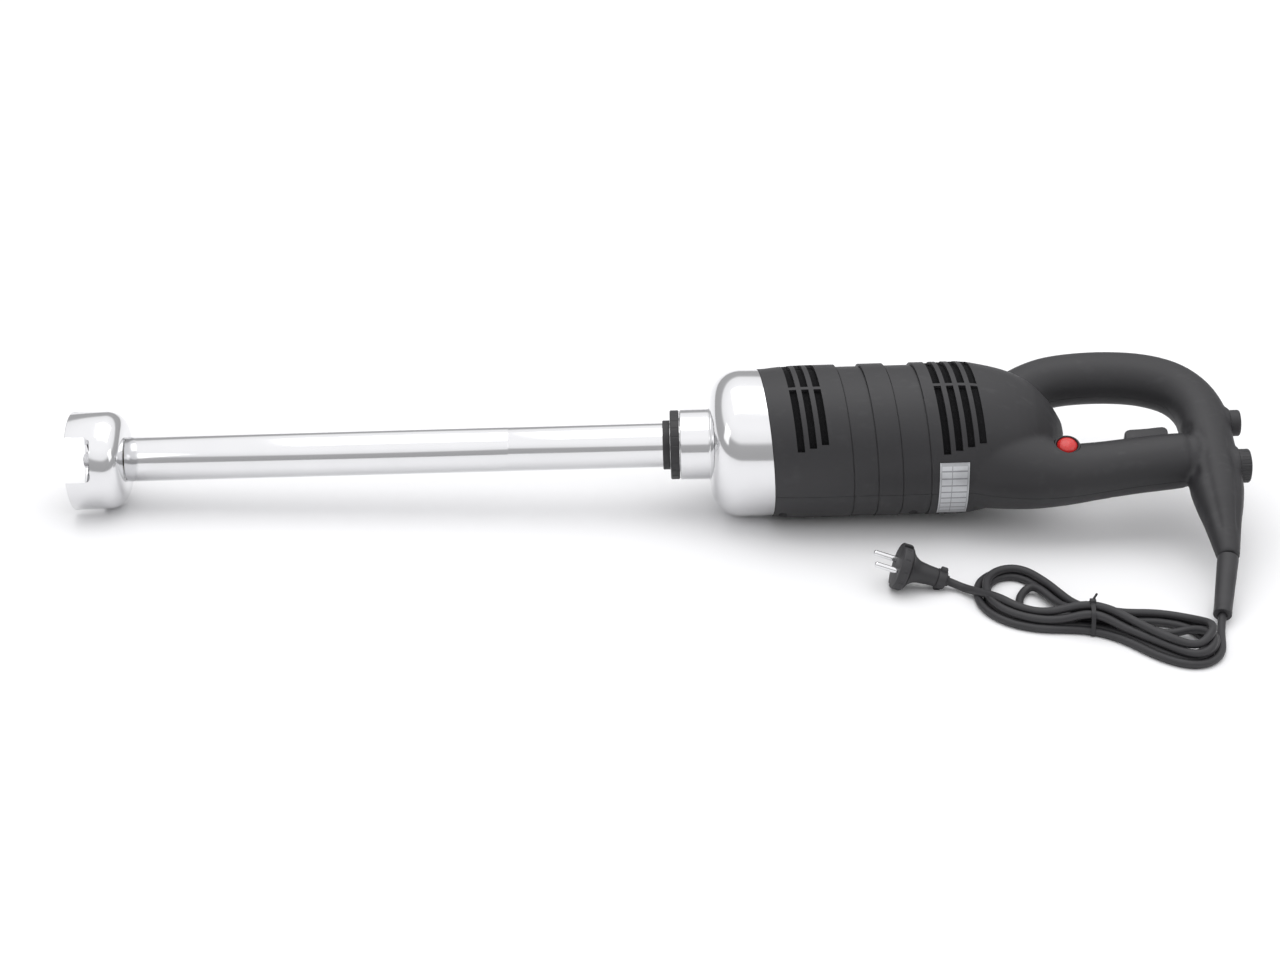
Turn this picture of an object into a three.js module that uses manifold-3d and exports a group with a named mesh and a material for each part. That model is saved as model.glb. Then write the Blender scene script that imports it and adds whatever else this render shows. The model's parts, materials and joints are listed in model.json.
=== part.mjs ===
// Heavy-duty stick blender lying on its side: steel bell, tube and dome, black two-part housing with a
// closed loop handle, detachable shaft, series motor, mains lead folded into a hank with its plug.
//
// Tool frame: X runs along the tool axis from the rim of the bell (0) to the back of the handle, Z lies
// in the plane of the handle loop and points to the mains lead, Y is square to that plane.
// Part frame: the tool lies on a floor at z = 0, with the middle of its own box at x = y = 0.
// Millimetres.

import * as THREE from 'three';
import { mergeVertices } from 'three/addons/utils/BufferGeometryUtils.js';
import Module from 'manifold-3d';

const wasm = await Module();
wasm.setup();

// ---- fits -----------------------------------------------------------------------------------------

const GAP = 0.3;            // between two pieces that touch or run on each other
const SLIDE_GAP = 0.4;      // round a button, trigger or knob in its opening

// ---- shaft and bell -------------------------------------------------------------------------------

const BELL_R = 41;
const BELL_DEPTH = 45;
const BELL_WALL = 1.8;
const BELL_SHOULDER_R = 16.5;
const BELL_NOTCHES = 3;
const BELL_NOTCH_WIDTH = 37.6;
const BELL_NOTCH_DEPTH = 21;
const BELL_NOTCH_TURN = 42.5;     // degrees from Y towards Z of the first notch
const BELL_BOSS_DEPTH = 20;
const BELL_BOSS_WALL = 5;

const BLADE_R = 33;
const BLADE_THICK = 2.4;
const BLADE_HUB_R = 9;
const BLADE_ARMS = 4;
const BLADE_AT = 14;

const TUBE_R = 18.5;
const TUBE_WALL = 1.5;
const TUBE_LENGTH = 458;

const DRIVE_R = 5;
const SPIGOT_R = 4;               // front end of the drive shaft that carries the blade
const BUSH_WALL = 4;
const SEAL_LENGTH = 4;

const COLLAR_R = 29;
const COLLAR_THICK = 7.5;
const COLLAR_RING_R = 20.5;
const COLLAR_RING_LENGTH = 6;
const COLLAR_AT = BELL_DEPTH + TUBE_LENGTH - 3;   // front face of the turning collar
const HANDLE_DATUM = 500;         // the collar's front face in the handle's own X

const SOCKET_FLAT = 8.4;          // half the width across the flats of the driving hexagon's socket
const SOCKET_R = 13;
const SPIGOT_RING_R = 22.6;
const SPIGOT_RING_LENGTH = 20;

// ---- motor end ------------------------------------------------------------------------------------

const NECK_R = 29.3;
const NECK_FLANGE_R = 35;
const NECK_FLANGE_THICK = 4.4;

const HOUSING_R = 63.5;
const DOME_R = HOUSING_R - 2.2;
const DOME_DEPTH = 45;
const DOME_WALL = 2;

const HOUSING_FRONT = 578.5;
const HOUSING_SWELL = 605;        // where the housing reaches its full radius
const HOUSING_BACK = 738;         // where its tail starts to close
const SHELL_WALL = 3;
const SLANT = 0.115;               // lean of the housing's front edge, grooves and slots: X per Z

const GROOVES = [[642, 663], [682, 706]];
const GROOVE_DEPTH = 1.3;

const SLOT_WIDTH = 6;
const SLOT_PITCH = 10;
const FRONT_SLOT_AT = 601;
const FRONT_SLOTS = 3;
const FRONT_SLOT_REACH = 51.4;    // degrees from the middle rib to the slot's far end
const REAR_SLOT_AT = 719;
const REAR_SLOTS = 4;
const REAR_SLOT_REACH = 56;
const SLOT_REACH_STEP = 2.5;
const SLOT_RIB = 1.3;             // degrees, half the rib between two slots in line

const PLATE_AT = 719;
const PLATE_WIDTH = 24;
const PLATE_REACH = 28;
const PLATE_THICK = 0.5;

const BEARING_WIDTH = 9;
const BEARING_R = 16;
const REAR_BEARING_R = 11;
const MOTOR_SHAFT_R = 6;
const DOG_LENGTH = 12;
const BRACKET_R = HOUSING_R - 9.5;
const BRACKET_THICK = 5;
const BRACKET_AT = 552;
const REAR_BRACKET_R = BRACKET_R - 2;
const REAR_BRACKET_AT = 708;
const FAN_R = BRACKET_R - 8;
const FAN_AT = 561;
const FAN_BLADES = 8;
const CORE_AT = 600;
const CORE_LENGTH = 60;
const CORE_R = BRACKET_R - 8;
const BORE_R = CORE_R - 18.5;      // of the stator
const AIR_GAP = 0.9;
const COIL_R = CORE_R - 8;
const COIL_OVERHANG = 12;
const COMMUTATOR_R = 15;
const COMMUTATOR_LENGTH = 24;
const COMMUTATOR_AT = 677;
const BRUSH_AT = 689;
const BRUSH_WIDTH = 7;
const TIE_BOLT_R = 2;
const TIE_BOLT_RADIUS = BRACKET_R - 3.8;

// ---- handle controls ------------------------------------------------------------------------------

const TRIGGER_AT = 876.6;
const TRIGGER_LENGTH = 36;
const TRIGGER_WIDTH = 18;
const TRIGGER_PROUD = 11;
const TRIGGER_TRAVEL = 4.5;
const LOWER_GRIP_TOP = 13.4;      // Z of the lower grip's surface under the trigger

const RED_BUTTON = [825, 34];    // X and Z of the unlocking button's axis, along Y
const RED_BUTTON_R = 8.4;
const RED_BUTTON_TOP = 27.2;
const BEZEL_WALL = 1.9;
const BEZEL_TOP = 24;

const LATCH_BUTTON_Z = -7.5;
const LATCH_BUTTON_R = 11;
const LATCH_BUTTON_BACK = 975;

const KNOB_Z = 41;
const KNOB_R = 14;
const KNOB_RIBS = 8;
const KNOB_FRONT = 962.6;
const KNOB_BACK = 977;
const COLUMN_BACK = 966.8;        // flat pads on the back of the grip column

// X, Z and depth of the seat under the head of each screw.
const SHELL_SCREWS = [[592, 54, 18], [592, -54, 18], [700, 54, 20], [700, -54, 20], [850, -62.5, 11],
  [862, 57, 8]];
const SCREW_R = 1.7;
const SCREW_HEAD_R = 3.6;
const SCREW_HEAD_THICK = 2.7;
const SCREW_REACH = 10;

// ---- lead -----------------------------------------------------------------------------------------

const RELIEF_ROOT = [942.5, 140.5];   // X and Z where the strain relief leaves the grip
const RELIEF_TIP = [929, 198.5];
const RELIEF_ROOT_R = 8.5;
const RELIEF_TIP_R = 7.3;

const CORD_D = 6.6;
const HANK_HEIGHT = 15;
const PLUG_R = 19;
const PLUG_NUT_R = 8.2;           // clamp nut at the lead's end of the plug
const PLUG_PIN_R = 2.4;
const PLUG_PIN_LENGTH = 19;
const PLUG_PIN_PITCH = 19;

// The lead's own route over the floor, chosen by hand, in the part frame.
const LEAD_ROUTE = [[442.97, -132.1, 7.45], [441.8, -137.2, 5.6], [440.5, -142.4, 4.2], [439, -147.6, 3.5],
  [437.4, -152.6, 3.4]];
const TAIL_ROUTE = [[248.6, -87.3, 3.45], [245.2, -84.6, 3.6], [241.4, -82.2, 4.5], [237.9, -80.7, 5.6],
  [234.1, -80, 6.8]];
const HANK_OUTLINE = [[250, -96], [255, -69], [276, -52], [299, -54], [318, -82], [336, -121], [366, -122],
  [396, -119], [423.5, -137], [437, -157.5], [440, -176], [430, -199], [408, -206], [380, -193],
  [350, -167], [331, -154], [304, -151], [272, -143], [254, -124]];
const PLUG_FACE = [192, -78.5, 20.7];
const PLUG_TAIL = [233.4, -79.9, 7.1];
const RELIEF_TIP_HOME = [443.05, -131.75];   // where the relief's tip lies in the routes above
const TIE_AT = [339, -139];

// ---- how the tool lies ----------------------------------------------------------------------------

const LOOP_TILT = 20;             // degrees between the handle loop and the floor

// ---- materials ------------------------------------------------------------------------------------

const finish = (color, roughness, metalness) => new THREE.MeshStandardMaterial({ color, roughness, metalness });
const STEEL = () => finish(0xd8d9da, 0.28, 1);
const DARK_STEEL = () => finish(0x8b8d90, 0.35, 1);
const ALLOY = () => finish(0xb9bcc0, 0.5, 1);
const BLACK = () => finish(0x2c2b2e, 0.62, 0);
const RUBBER = () => finish(0x201f21, 0.8, 0);
const RED = () => finish(0xd42a2a, 0.35, 0);
const COPPER = () => finish(0xb06a3a, 0.4, 1);
const BRASS = () => finish(0xc9a24b, 0.35, 1);
const LABEL = () => finish(0xc9cacc, 0.4, 0.6);
const BOARD = () => finish(0x2f6a44, 0.6, 0);
const CARBON = () => finish(0x1c1c1c, 0.7, 0.2);

// ---- solids ---------------------------------------------------------------------------------------

const rad = THREE.MathUtils.degToRad;

/** A geometry as a manifold solid: positions only, merged, no collapsed triangles. */
function toSolid(geometry) {
  const bare = geometry.clone();
  bare.deleteAttribute('normal');
  bare.deleteAttribute('uv');
  const merged = mergeVertices(bare, 1e-4);
  const index = merged.index.array;
  const kept = [];
  for (let i = 0; i < index.length; i += 3) {
    const [a, b, c] = [index[i], index[i + 1], index[i + 2]];
    if (a !== b && b !== c && c !== a) kept.push(a, b, c);
  }
  return new wasm.Manifold(new wasm.Mesh({
    numProp: 3,
    vertProperties: new Float32Array(merged.attributes.position.array),
    triVerts: new Uint32Array(kept),
  }));
}

/** A manifold solid back as a three.js geometry. */
function toGeometry(solid) {
  const mesh = solid.getMesh();
  const geometry = new THREE.BufferGeometry();
  geometry.setAttribute('position', new THREE.BufferAttribute(new Float32Array(mesh.vertProperties), 3));
  geometry.setIndex(new THREE.BufferAttribute(new Uint32Array(mesh.triVerts), 1));
  return geometry;
}

const cut = (body, ...tools) => toGeometry(tools.reduce((solid, t) => solid.subtract(toSolid(t)), toSolid(body)));
const join = (body, ...more) => toGeometry(more.reduce((solid, m) => solid.add(toSolid(m)), toSolid(body)));
const common = (a, b) => toGeometry(toSolid(a).intersect(toSolid(b)));

/** Signed area of a closed outline, positive when it runs anticlockwise. */
function area(points) {
  let sum = 0;
  points.forEach(([x, y], i) => {
    const [nextX, nextY] = points[(i + 1) % points.length];
    sum += x * nextY - nextX * y;
  });
  return sum / 2;
}

/** Turn an outline of [x, radius] points about the tool axis. */
function turned(outline, sides = 28) {
  const ordered = area(outline) > 0 ? [...outline].reverse() : [...outline];
  const closed = ordered.some(([, radius]) => radius === 0) ? rotateToAxis(ordered) : [...ordered, ordered[0]];
  const points = closed.map(([x, radius]) => new THREE.Vector2(radius, x));
  return new THREE.LatheGeometry(points, sides).rotateZ(-Math.PI / 2);
}

/** Start an outline that meets the axis at the second of its two axis points. */
function rotateToAxis(outline) {
  const start = outline.findIndex(([, radius], i) => radius === 0 && outline.at(i - 1)[1] === 0);
  return [...outline.slice(start), ...outline.slice(0, start)];
}

/** A plain ring or disc about the tool axis. */
function ring(from, to, outer, inner = 0, sides = 20) {
  return turned([[from, outer], [to, outer], [to, inner], [from, inner]], sides);
}

/** A box given by its low and high corners. */
function box(low, high) {
  const size = high.map((value, i) => value - low[i]);
  const middle = high.map((value, i) => (value + low[i]) / 2);
  return new THREE.BoxGeometry(...size).translate(...middle);
}

/** A flat outline in the Y-Z plane, pushed along X from one place to another. */
function alongX(shape, from, to, curveSegments = 8) {
  const options = { depth: to - from, bevelEnabled: false, curveSegments };
  return new THREE.ExtrudeGeometry(shape, options).applyMatrix4(
    new THREE.Matrix4().set(0, 0, 1, from, 1, 0, 0, 0, 0, 1, 0, 0, 0, 0, 0, 1));
}

/** A flat outline in the X-Z plane, pushed along Y from -half to +half. */
function alongY(shape, half) {
  const options = { depth: 2 * half, bevelEnabled: false, curveSegments: 6 };
  return new THREE.ExtrudeGeometry(shape, options).rotateX(Math.PI / 2).translate(0, half, 0);
}

/** A cylinder along Y, at X and Z, between two Y values. */
function pinY([x, z], from, to, radius, sides = 10) {
  return new THREE.CylinderGeometry(radius, radius, to - from, sides).translate(x, (from + to) / 2, z);
}

/** A straight-sided outline from a list of points. */
function outlineShape(points) {
  return new THREE.Shape(points.map(([x, y]) => new THREE.Vector2(x, y)));
}

/** A regular polygon, given half its width across the flats. */
function polygonShape(flat, sides) {
  const corner = flat / Math.cos(Math.PI / sides);
  const at = (i) => [corner * Math.cos((2 * Math.PI * i) / sides), corner * Math.sin((2 * Math.PI * i) / sides)];
  return outlineShape(Array.from({ length: sides }, (_, i) => at(i)));
}

/** A sector of a ring in the Y-Z plane, between two angles in degrees from Y towards Z. */
function sectorShape(inner, outer, from, to) {
  const shape = new THREE.Shape();
  shape.absarc(0, 0, outer, rad(from), rad(to), false);
  shape.absarc(0, 0, inner, rad(to), rad(from), true);
  return shape;
}

/** A closed skin over rings that all have the same number of points, with both ends capped. */
function loft(rings) {
  const sides = rings[0].length;
  const points = rings.flat();
  const index = [];
  for (let r = 0; r + 1 < rings.length; r += 1) {
    for (let i = 0; i < sides; i += 1) {
      const [a, b] = [r * sides + i, r * sides + ((i + 1) % sides)];
      index.push(a, b, a + sides, b, b + sides, a + sides);
    }
  }
  [rings[0], rings.at(-1)].forEach((edge, end) => {
    const centre = edge.reduce((sum, point) => sum.add(point), new THREE.Vector3()).divideScalar(sides);
    points.push(centre);
    const base = end * (rings.length - 1) * sides;
    for (let i = 0; i < sides; i += 1) {
      const pair = [base + i, base + ((i + 1) % sides)];
      index.push(points.length - 1, ...(end ? pair : pair.reverse()));
    }
  });
  const geometry = new THREE.BufferGeometry().setFromPoints(points);
  geometry.setIndex(index);
  return geometry;
}

/** Rings of a rounded grip: each section is [x, z, half height, half width], square to its own path. */
function gripRings(sections, inset, sides = 14) {
  const middles = sections.map(([x, z]) => new THREE.Vector3(x, 0, z));
  return sections.map(([, , height, width], i) => {
    const ahead = middles[Math.min(i + 1, middles.length - 1)];
    const along = ahead.clone().sub(middles[Math.max(i - 1, 0)]).normalize();
    const up = new THREE.Vector3(0, 1, 0);
    const across = new THREE.Vector3().crossVectors(along, up);
    return Array.from({ length: sides }, (_, k) => {
      const angle = (2 * Math.PI * k) / sides;
      return middles[i].clone()
        .addScaledVector(across, (height - inset) * Math.cos(angle))
        .addScaledVector(up, (width - inset) * Math.sin(angle));
    });
  });
}

/** The same grip as a solid, turned outside out whichever way its path runs. */
function grip(sections, inset) {
  const geometry = loft(gripRings(sections, inset));
  if (toSolid(geometry).volume() > 0) return geometry;
  return loft(gripRings(sections, inset).map((edge) => [...edge].reverse()));
}

/** A round cord along a list of points, with a step about every two diameters. */
function cordTube(route, diameter) {
  const path = new THREE.CatmullRomCurve3(route.map((point) => new THREE.Vector3(...point)));
  const section = new THREE.Shape();
  section.absarc(0, 0, diameter / 2, 0, 2 * Math.PI, false);
  const steps = Math.max(3, Math.round(path.getLength() / (2 * diameter)));
  return new THREE.ExtrudeGeometry(section, { steps, extrudePath: path, curveSegments: 5, bevelEnabled: false });
}

// ---- assembly -------------------------------------------------------------------------------------

const tool = new THREE.Group();
const handle = new THREE.Group();
handle.position.x = COLLAR_AT - HANDLE_DATUM;
tool.add(handle);
const lead = new THREE.Group();

/** Add one named piece. */
function piece(group, name, geometry, material) {
  const mesh = new THREE.Mesh(geometry, material());
  mesh.name = name;
  group.add(mesh);
  return mesh;
}

// ---- shaft unit -----------------------------------------------------------------------------------

const boreR = DRIVE_R + GAP;
const bushR = boreR + BUSH_WALL;
const bellBossFront = BELL_DEPTH - BELL_BOSS_DEPTH;

/** Points of a quarter round between a side wall and a back face. */
function shoulder(x, radius, round, steps = 3) {
  return Array.from({ length: steps + 1 }, (_, i) => {
    const angle = (Math.PI / 2) * (i / steps);
    return [x - round + round * Math.sin(angle), radius - round + round * Math.cos(angle)];
  });
}

function bellGuard() {
  const inner = BELL_SHOULDER_R - BELL_WALL;
  const boss = bushR + GAP + BELL_BOSS_WALL;
  const outline = [[0, BELL_R], ...shoulder(BELL_DEPTH, BELL_R, BELL_SHOULDER_R),
    [BELL_DEPTH, bushR + GAP], [bellBossFront, bushR + GAP], [bellBossFront, boss],
    [BELL_DEPTH - BELL_WALL, boss], ...shoulder(BELL_DEPTH - BELL_WALL, BELL_R - BELL_WALL, inner).reverse(),
    [0, BELL_R - BELL_WALL]];
  const notches = Array.from({ length: BELL_NOTCHES }, (_, i) => {
    const half = BELL_NOTCH_WIDTH / 2;
    const round = 5;
    const shape = new THREE.Shape();
    shape.moveTo(-5, -half);
    shape.lineTo(BELL_NOTCH_DEPTH - round, -half);
    shape.absarc(BELL_NOTCH_DEPTH - round, -half + round, round, -Math.PI / 2, 0, false);
    shape.absarc(BELL_NOTCH_DEPTH - round, half - round, round, 0, Math.PI / 2, false);
    shape.lineTo(-5, half);
    const turn = BELL_NOTCH_TURN + (360 / BELL_NOTCHES) * i;
    return alongY(shape, 15).translate(0, BELL_R, 0).rotateX(rad(turn));
  });
  return cut(turned(outline, 30), ...notches);
}

function blade() {
  const shape = new THREE.Shape();
  for (let i = 0; i < BLADE_ARMS; i += 1) {
    const base = (2 * Math.PI * i) / BLADE_ARMS;
    const at = (radius, offset) => [radius * Math.cos(base + offset), radius * Math.sin(base + offset)];
    const points = [at(BLADE_HUB_R, -0.55), at(BLADE_R * 0.62, -0.3), at(BLADE_R, -0.12), at(BLADE_R - 0.5, 0.06),
      at(BLADE_R * 0.6, 0.14), at(BLADE_HUB_R, 0.6)];
    points.forEach(([y, z], k) => (i + k === 0 ? shape.moveTo(y, z) : shape.lineTo(y, z)));
  }
  shape.closePath();
  const flat = alongX(shape, BLADE_AT, BLADE_AT + BLADE_THICK);
  return cut(flat, ring(BLADE_AT - 1, BLADE_AT + BLADE_THICK + 1, SPIGOT_R + GAP, 0, 16));
}

const shaftStep = BLADE_AT + BLADE_THICK + GAP;
const screwBoreR = 2.8;
const driveBack = COLLAR_AT - 1;

function driveShaft() {
  const boreEnd = BLADE_AT + 12;
  const outline = [[BLADE_AT, SPIGOT_R], [shaftStep, SPIGOT_R], [shaftStep, DRIVE_R], [driveBack, DRIVE_R],
    [driveBack, 0], [boreEnd, 0], [boreEnd, screwBoreR], [BLADE_AT, screwBoreR]];
  return turned(outline, 20);
}

function bladeScrew() {
  const head = alongX(polygonShape(5.5, 6), BLADE_AT - 5.5, BLADE_AT - GAP);
  return join(head, ring(BLADE_AT - 1, BLADE_AT + 10, screwBoreR - GAP, 0, 12));
}

function shaftSocket() {
  const seat = driveBack + GAP;
  const back = COLLAR_AT + 12;
  const front = COLLAR_AT - 16;
  const body = turned([[front, SOCKET_R - 3], [front + 6, SOCKET_R], [back, SOCKET_R], [back, 0], [front, 0]], 24);
  const socket = alongX(polygonShape(SOCKET_FLAT, 6), seat, back + 1);
  return cut(body, socket, ring(front - 1, seat + 0.2, boreR, 0, 20));
}

const tubeFront = BELL_DEPTH + GAP;
const tubeBack = tubeFront + TUBE_LENGTH;
const collarBore = TUBE_R + GAP;

function shaftTube() {
  return ring(tubeFront, tubeBack, TUBE_R, TUBE_R - TUBE_WALL, 32);
}

/** The black turning collar: a flange with a ring of shallow grips cut in its rim. */
function lockCollar() {
  const back = COLLAR_AT + COLLAR_THICK;
  const chamfer = 1.2;
  const outline = [[COLLAR_AT, COLLAR_R - chamfer], [COLLAR_AT + chamfer, COLLAR_R], [back - chamfer, COLLAR_R],
    [back, COLLAR_R - chamfer], [back, SPIGOT_RING_R + 2 * GAP], [back - 4, SPIGOT_RING_R + 2 * GAP],
    [back - 4, collarBore], [COLLAR_AT, collarBore]];
  return turned(outline, 24);
}

function shaftUnit() {
  piece(tool, 'bell_guard', bellGuard(), STEEL);
  piece(tool, 'blade', blade(), STEEL);
  piece(tool, 'blade_screw', bladeScrew(), STEEL);
  piece(tool, 'drive_shaft', driveShaft(), DARK_STEEL);
  const seal = ring(bellBossFront + GAP, bellBossFront + GAP + SEAL_LENGTH, bushR, boreR, 24);
  piece(tool, 'shaft_seal', seal, RUBBER);
  const bushFront = bellBossFront + 2 * GAP + SEAL_LENGTH;
  piece(tool, 'lower_bush', ring(bushFront, BELL_DEPTH - GAP, bushR, boreR, 24), BRASS);
  piece(tool, 'shaft_tube', shaftTube(), STEEL);
  const bearing = ring(COLLAR_AT - 32, COLLAR_AT - 20, TUBE_R - TUBE_WALL - GAP, boreR, 24);
  piece(tool, 'upper_bearing', bearing, DARK_STEEL);
  piece(tool, 'shaft_socket', shaftSocket(), DARK_STEEL);
  const ringFront = COLLAR_AT - GAP - COLLAR_RING_LENGTH;
  piece(tool, 'tube_ring', ring(ringFront, COLLAR_AT - GAP, COLLAR_RING_R, collarBore), BLACK);
  piece(tool, 'lock_collar', lockCollar(), BLACK);
  const spigotFront = COLLAR_AT + COLLAR_THICK - 4 + GAP;
  const spigot = ring(spigotFront, spigotFront + SPIGOT_RING_LENGTH, SPIGOT_RING_R, collarBore);
  piece(tool, 'shaft_spigot', spigot, STEEL);
}

// ---- motor ----------------------------------------------------------------------------------------

const neckFront = HANDLE_DATUM + COLLAR_THICK + 2 * GAP;
const domeFront = HOUSING_FRONT - GAP - DOME_DEPTH;
const journalR = MOTOR_SHAFT_R + GAP;

function motorNeck() {
  const bore = SPIGOT_RING_R + 2 * GAP;
  const flangeFront = domeFront + DOME_WALL + GAP;
  const flangeBack = flangeFront + NECK_FLANGE_THICK;
  return turned([[neckFront, NECK_R - 1], [neckFront + 1, NECK_R], [flangeFront, NECK_R],
    [flangeFront, NECK_FLANGE_R], [flangeBack, NECK_FLANGE_R], [flangeBack, bore], [neckFront, bore]], 28);
}

const LEANING = new THREE.Matrix4().set(1, 0, SLANT, 0, 0, 1, 0, 0, 0, 0, 1, 0, 0, 0, 0, 1);
const seamReach = SLANT * HOUSING_R;

/** The same geometry with its cross-sections leaning in the loop's plane. */
function slanted(geometry) {
  return geometry.applyMatrix4(LEANING);
}

/** Outline of the dome's outside, or of its inside at a wall's depth, running past the seam. */
function domeOutline(inset) {
  const sideR = DOME_R - inset;
  const rise = DOME_R - NECK_FLANGE_R - 0.3 - inset;
  const points = Array.from({ length: 6 }, (_, i) => {
    const angle = (Math.PI / 2) * (i / 5);
    return [domeFront + inset + rise * (1 - Math.cos(angle)), sideR - rise + rise * Math.sin(angle)];
  });
  return [[domeFront + inset, NECK_R + GAP], ...points, [HOUSING_FRONT + seamReach + 1, sideR]];
}

function domeCover() {
  const shell = turned([...domeOutline(0), ...domeOutline(DOME_WALL).reverse()], 32);
  const beyond = slanted(box([HOUSING_FRONT - GAP, -90, -90], [HOUSING_FRONT + 60, 90, 90]));
  return cut(shell, beyond);
}

const tieBoltAt = [TIE_BOLT_RADIUS, -TIE_BOLT_RADIUS];

/** A bearing bracket: a hub round the bearing, a plate, and holes for the two tie bolts. */
function bracket(at, plateR, hubR, hubFrom, hubTo, windows) {
  const plate = turned([[hubFrom, hubR + 4], [at, hubR + 4], [at, plateR], [at + BRACKET_THICK, plateR],
    [at + BRACKET_THICK, hubR + 4], [hubTo, hubR + 4], [hubTo, hubR + GAP], [hubFrom, hubR + GAP]], 20);
  const back = at + BRACKET_THICK + 1;
  const bolts = tieBoltAt.map((y) => ring(at - 1, back, TIE_BOLT_R + GAP, 0, 12).translate(0, y, 0));
  const openings = windows.map((turn) =>
    alongX(sectorShape(hubR + 9, plateR - 8, turn - 22, turn + 22), at - 1, back, 3));
  return cut(plate, ...bolts, ...openings);
}

function coolingFan() {
  const hub = ring(FAN_AT, FAN_AT + 12, journalR + 6, journalR, 16);
  const disc = ring(FAN_AT, FAN_AT + 2, FAN_R, journalR, 24);
  const blades = Array.from({ length: FAN_BLADES }, (_, i) =>
    box([FAN_AT + 1, journalR + 3, -0.9], [FAN_AT + 13, FAN_R - 1, 0.9]).rotateX((2 * Math.PI * i) / FAN_BLADES));
  return cut(join(disc, hub, ...blades), ring(FAN_AT - 1, FAN_AT + 14, journalR, 0, 20));
}

function statorCore() {
  const core = ring(CORE_AT, CORE_AT + CORE_LENGTH, CORE_R, BORE_R, 36);
  const windows = [90, 270].flatMap((pole) => [-63, 63].map((turn) =>
    alongX(sectorShape(BORE_R - 1, COIL_R + GAP, pole + turn - 8.6, pole + turn + 8.6), CORE_AT - 1,
      CORE_AT + CORE_LENGTH + 1, 3)));
  return cut(core, ...windows);
}

/** A field coil: two sides that lie in the core's windows, joined by an arc beyond each end. */
function fieldCoil(pole) {
  const inner = BORE_R + 1.5;
  const sheet = sectorShape(inner, COIL_R, pole - 71, pole + 71);
  const hole = sectorShape(inner - 2, COIL_R + 2, pole - 55, pole + 55);
  const full = alongX(sheet, CORE_AT - COIL_OVERHANG, CORE_AT + CORE_LENGTH + COIL_OVERHANG, 8);
  return cut(full, alongX(hole, CORE_AT - GAP - 2, CORE_AT + CORE_LENGTH + GAP + 2, 8));
}

const rotorR = BORE_R - AIR_GAP;
const rotorSlots = 8;
const rotorSlotDepth = 9;

function armatureCore() {
  const core = ring(CORE_AT + 1, CORE_AT + CORE_LENGTH - 1, rotorR, journalR, 32);
  const slots = Array.from({ length: rotorSlots }, (_, i) =>
    box([CORE_AT, rotorR - rotorSlotDepth, -2.5], [CORE_AT + CORE_LENGTH, rotorR + 2, 2.5])
      .rotateX((2 * Math.PI * i) / rotorSlots));
  return cut(core, ...slots);
}

function armatureWinding() {
  const [front, back] = [CORE_AT + 1 - GAP, CORE_AT + CORE_LENGTH - 1 + GAP];
  const heads = [[front - 9, front], [back, back + 9]].map(([a, b]) => ring(a, b, rotorR - 2.5, journalR + 2, 24));
  const bars = Array.from({ length: rotorSlots }, (_, i) =>
    box([front - 1, rotorR - rotorSlotDepth + GAP, -2.2], [back + 1, rotorR - 2.8, 2.2])
      .rotateX((2 * Math.PI * i) / rotorSlots));
  return join(heads[0], heads[1], ...bars);
}

/** A brush box on one side of the commutator, open along its length for the brush. */
function brushHolder(side) {
  const half = BRUSH_WIDTH / 2 + 1.8;
  const bore = BRUSH_WIDTH / 2 + GAP;
  const root = COMMUTATOR_R + 3;
  const top = TIE_BOLT_RADIUS - 7.2;
  const body = box([BRUSH_AT - half, root, -half], [BRUSH_AT + half, top, half]);
  const foot = box([BRUSH_AT - half, top - 5, -half - 6], [BRUSH_AT + half, top - 2, half + 6]);
  const bored = cut(join(body, foot), box([BRUSH_AT - bore, root - 2, -bore], [BRUSH_AT + bore, top + 1, bore]));
  return side > 0 ? bored : bored.clone().rotateX(Math.PI);
}

function carbonBrush(side) {
  const half = BRUSH_WIDTH / 2;
  const body = box([BRUSH_AT - half, COMMUTATOR_R + 0.5, -half], [BRUSH_AT + half, COMMUTATOR_R + 17, half]);
  return side > 0 ? body : body.rotateX(Math.PI);
}

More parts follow.
